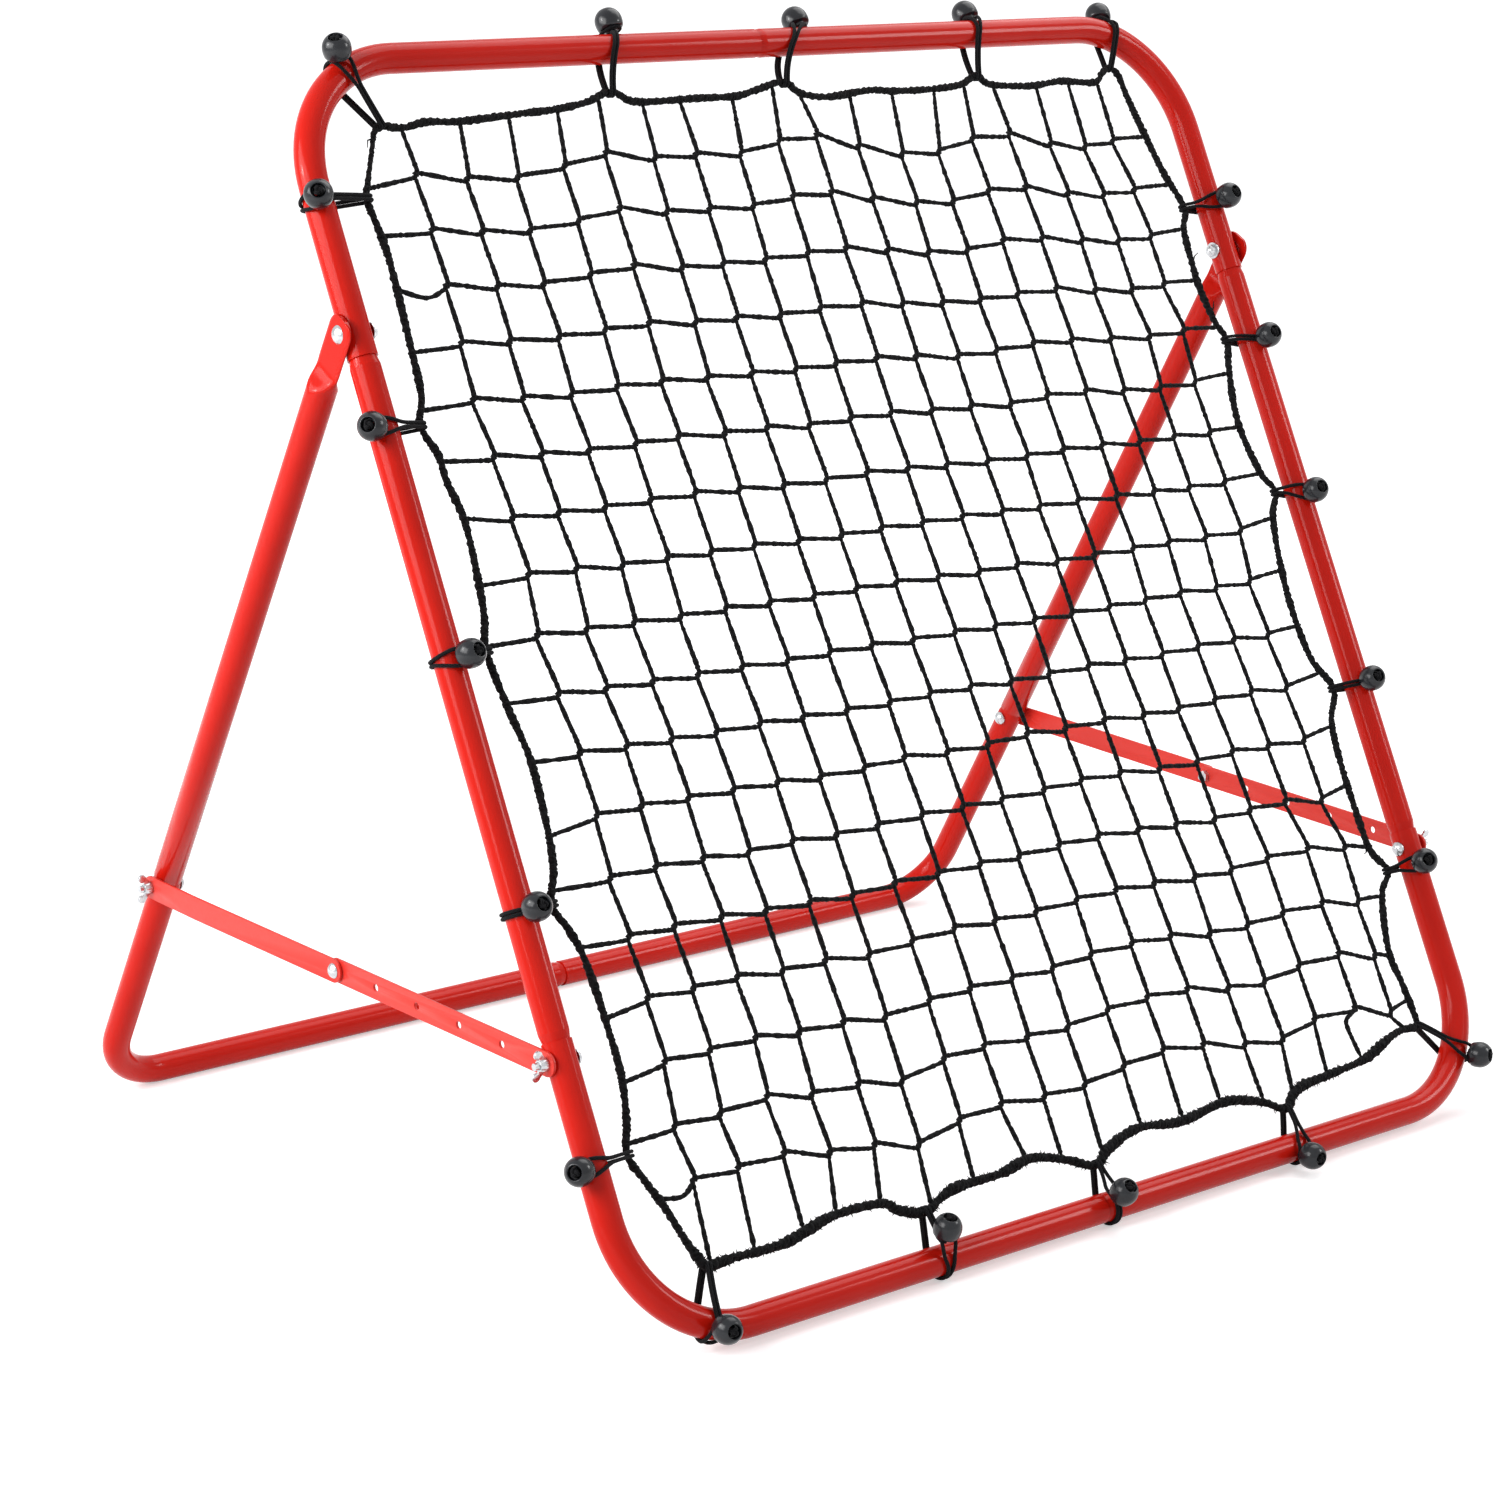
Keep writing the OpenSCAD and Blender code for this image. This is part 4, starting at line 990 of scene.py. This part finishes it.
    def cord(self):
        """Route of the whole elastic cord: out of the ball's hole, round the tube and the
        rope, round the ball's neck and the same way back."""
        plain_side = self.hooked == "front"
        beyond = 1 if self.hooked == "front" else -1
        hole = (self.ball_out + BALL_R - HOLLOW_DEEP + 1.5, self.ball_out - 4,
                self.seat + 2.4, self.seat + 0.9)
        neck_r = NECK_R + CORD_R
        route = [self.from_tube(r, self.ball_angle, -HOLE_SIDE) for r in hole]
        route += self.half(plain_side, -1) + self.half(not plain_side, -1)[::-1]
        for k in range(1, 10):
            a = math.pi * k / 10
            place = self.from_tube(self.neck_out, self.ball_angle, -neck_r * math.cos(a))
            route.append(place + self.beside_ball(beyond * neck_r * math.sin(a)))
        route += self.half(not plain_side, 1) + self.half(plain_side, 1)[::-1]
        route += [self.from_tube(r, self.ball_angle, HOLE_SIDE) for r in reversed(hole)]
        return [(p, STRAND_R) for p in smooth_route(route, CORD_STEP)], False

    def knot(self):
        """Route of the knot in the ball's hollow."""
        middle = self.ball_out + BALL_R - HOLLOW_DEEP + 3.4
        points = []
        for k in range(48):
            t = 2 * math.pi * k / 48
            x, z = math.sin(t) + 2 * math.sin(2 * t), math.cos(t) - 2 * math.cos(2 * t)
            out = middle - KNOT_FLAT * math.sin(3 * t)
            place = self.from_tube(out, self.ball_angle, KNOT_SIZE * z)
            points.append((place + self.beside_ball(KNOT_SIZE * x), CORD_R * 0.95))
        return points, True


def ball_outline():
    """Section of a ball as (radius, height): its neck, the groove over it, the dome with
    its skirt, the hollow and the cord hole."""
    back = BALL_FLAT - BALL_R
    dome = BALL_R - BALL_SLACK
    skirt = back + NECK_H
    points = [(BALL_HOLE_R, back), (NECK_R - 0.4, back), (NECK_R, back + 0.4),
              (NECK_R, skirt - 0.5), (NECK_R + 0.5, skirt), (SKIRT_R - 0.9, skirt),
              (SKIRT_R - 0.3, skirt + 0.2), (SKIRT_R, skirt + 0.8)]
    for k in range(1, 9):
        share = 1 - k / 8
        points.append((dome - (dome - SKIRT_R) * share ** 2.3, (skirt + 0.8) * share - BALL_SLACK))
    rim_r = HOLLOW_R + LIP
    end = math.asin(rim_r / dome)
    for k in range(1, 15):
        a = math.pi / 2 + (end - math.pi / 2) * k / 14
        points.append((dome * math.sin(a), dome * math.cos(a) - BALL_SLACK))
    rim_y = dome * math.cos(end) - BALL_SLACK
    for k in range(1, 6):
        a = math.pi / 2 * k / 5
        points.append((rim_r - LIP * math.sin(a), rim_y - LIP * (1 - math.cos(a)) * 0.8))
    floor_y = BALL_R - HOLLOW_DEEP
    return points + [(HOLLOW_R, floor_y + 0.8), (HOLLOW_R - 0.3, floor_y + 0.2),
                     (HOLLOW_R - 0.9, floor_y), (BALL_HOLE_R, floor_y)]


def turned_ring(name, outline, place, axis):
    """A lathe-turned piece with a hole right through: its outline, as (radius, height) along
    axis from place, closes on itself."""
    axis = Vector(axis).normalized()
    side = axis.orthogonal().normalized()
    other = axis.cross(side)
    turns = [2 * math.pi * k / BALL_SIDES for k in range(BALL_SIDES)]
    rings = [[place + mm(height) * axis + mm(radius) * (math.cos(t) * side + math.sin(t) * other)
              for t in turns] for radius, height in outline]
    return piece_from_rings(name, rings, joined=True)


def make_ties():
    """Twenty balls, and the elastic cords in four groups as in CAD."""
    outline = ball_outline()
    for side, places in TIES.items():
        cords, knots = [], []
        for n, place in enumerate(places, 1):
            tie = Tie(side, *place)
            cords.append(tie.cord())
            knots.append(tie.knot())
            centre = tie.from_tube(tie.ball_out, tie.ball_angle, 0)
            axis = centre - tie.from_tube(0, 0, 0)
            name = f"ball_{side}_{n}"
            ball = turned_ring(f"tie_{name}", outline, centre, axis)
            finish_piece(ball, "front_frame", "tie_ball", name)
        piece = make_cord(f"elastic_cords_{side}", cords + knots, "elastic_cord", 8,
                          fuzz=0.12, seed=2.0)
        finish_piece(piece, "front_frame", "elastic_cord", f"elastic_{side}")


# ------ The stand's upper legs, pressed flat at the top
# Sides of a section, the crease's height and how much further down it reaches in the middle
# of the faces, the mouth's edge, and how far above the pivot the top starts to round off
LEG_SIDES = 56
CREASE = LEG_ROUND - LEG_FLAT + 4
CREASE_SAG = 8
MOUTH_EDGE = 0.3
TOP_ROUND_FROM = 2


def leg_section(side, up, wall=TUBE_R, trim=0.0):
    """One ring round a leg: a round tube of radius wall, which gives way to a flat tongue
    first along the middle of its faces and last at its edges."""
    to_pivot = LEG_LEN - up
    spread_out = ease((LEG_ROUND - to_pivot) / CREASE)
    half_w = wall + (LEG_FLAT_W / 2 - wall) * spread_out - trim
    ring = []
    for k in range(LEG_SIDES):
        a = 2 * math.pi * k / LEG_SIDES
        across = math.copysign(abs(math.sin(a)) ** (1 - 0.55 * spread_out), math.sin(a))
        thick = math.sqrt(max(0.0, 1 - across ** 2))
        low = LEG_ROUND - CREASE_SAG * across ** 2
        pressed = ease((low - to_pivot) / (low - LEG_FLAT)) ** 0.8
        flat = LEG_FLAT_T / 2 * min(1.0, 1.6 * thick)
        x = math.copysign(wall * thick * (1 - pressed) + flat * pressed, math.cos(a))
        ring.append(on_stand(HAND[side] * (LEG_X + x), up, half_w * across))
    return ring


def make_upper_legs():
    """Round tubes with an open mouth below, creased and pressed flat round the pivot."""
    inner = TUBE_R - TUBE_WALL
    crease_from = LEG_LEN - LEG_ROUND
    round_from, round_h = LEG_LEN + TOP_ROUND_FROM, LEG_FLAT_ABOVE - TOP_ROUND_FROM
    for side in SIDES:
        rings = [leg_section(side, up, wall) for up, wall in (
            (LEG_MOUTH + 30, inner), (LEG_MOUTH + MOUTH_EDGE, inner),
            (LEG_MOUTH, inner + MOUTH_EDGE), (LEG_MOUTH, TUBE_R - MOUTH_EDGE),
            (LEG_MOUTH + MOUTH_EDGE, TUBE_R))]
        rings += [leg_section(side, crease_from - away) for away in (300, 60, 12, 4)]
        rings += [leg_section(side, crease_from + CREASE * k / 18) for k in range(19)]
        rings += [leg_section(side, up) for up in (LEG_LEN - 20, LEG_LEN)]
        for k in range(9):
            a = math.pi / 2 * k / 8
            rings.append(leg_section(side, round_from + round_h * math.sin(a) ** 1.2,
                                     trim=LEG_FLAT_W / 2 * 0.62 * (1 - math.cos(a)) ** 1.1))
        rings.append(leg_section(side, LEG_LEN + LEG_FLAT_ABOVE, trim=LEG_FLAT_W / 2 * 0.7))
        piece = piece_from_rings(f"leg_{side}", rings)
        finish_piece(piece, "rear_stand", "frame_paint", f"upper_leg_{side}")


# ------ CAD nodes that keep their shape, or get soft edges
def dress_cad_nodes():
    """Every CAD node gets the finish of its slot."""
    slots = {part["node"]: part["material_slot"] for part in frame["record"]["subparts"]}
    for name, node in frame["nodes"].items():
        node.data.materials.clear()
        node.data.materials.append(FINISH[slots[name]])


def soften_metal():
    """Stay bars and wing nuts with rounded edges, each on the body of its own name."""
    for side in SIDES:
        for kind, slot in (("stay_front", "stay_paint"), ("stay_rear", "stay_paint"),
                           ("wing_nut_front", "zinc_hardware"), ("wing_nut_rear", "zinc_hardware")):
            node = f"{kind}_{side}"
            finish_piece(softened_copy(f"{node}_soft", node), node, slot, node)


make_camera()
make_world()
make_lights()
make_floor()
dress_cad_nodes()
make_net()
make_edge_rope()
make_ties()
make_upper_legs()
soften_metal()
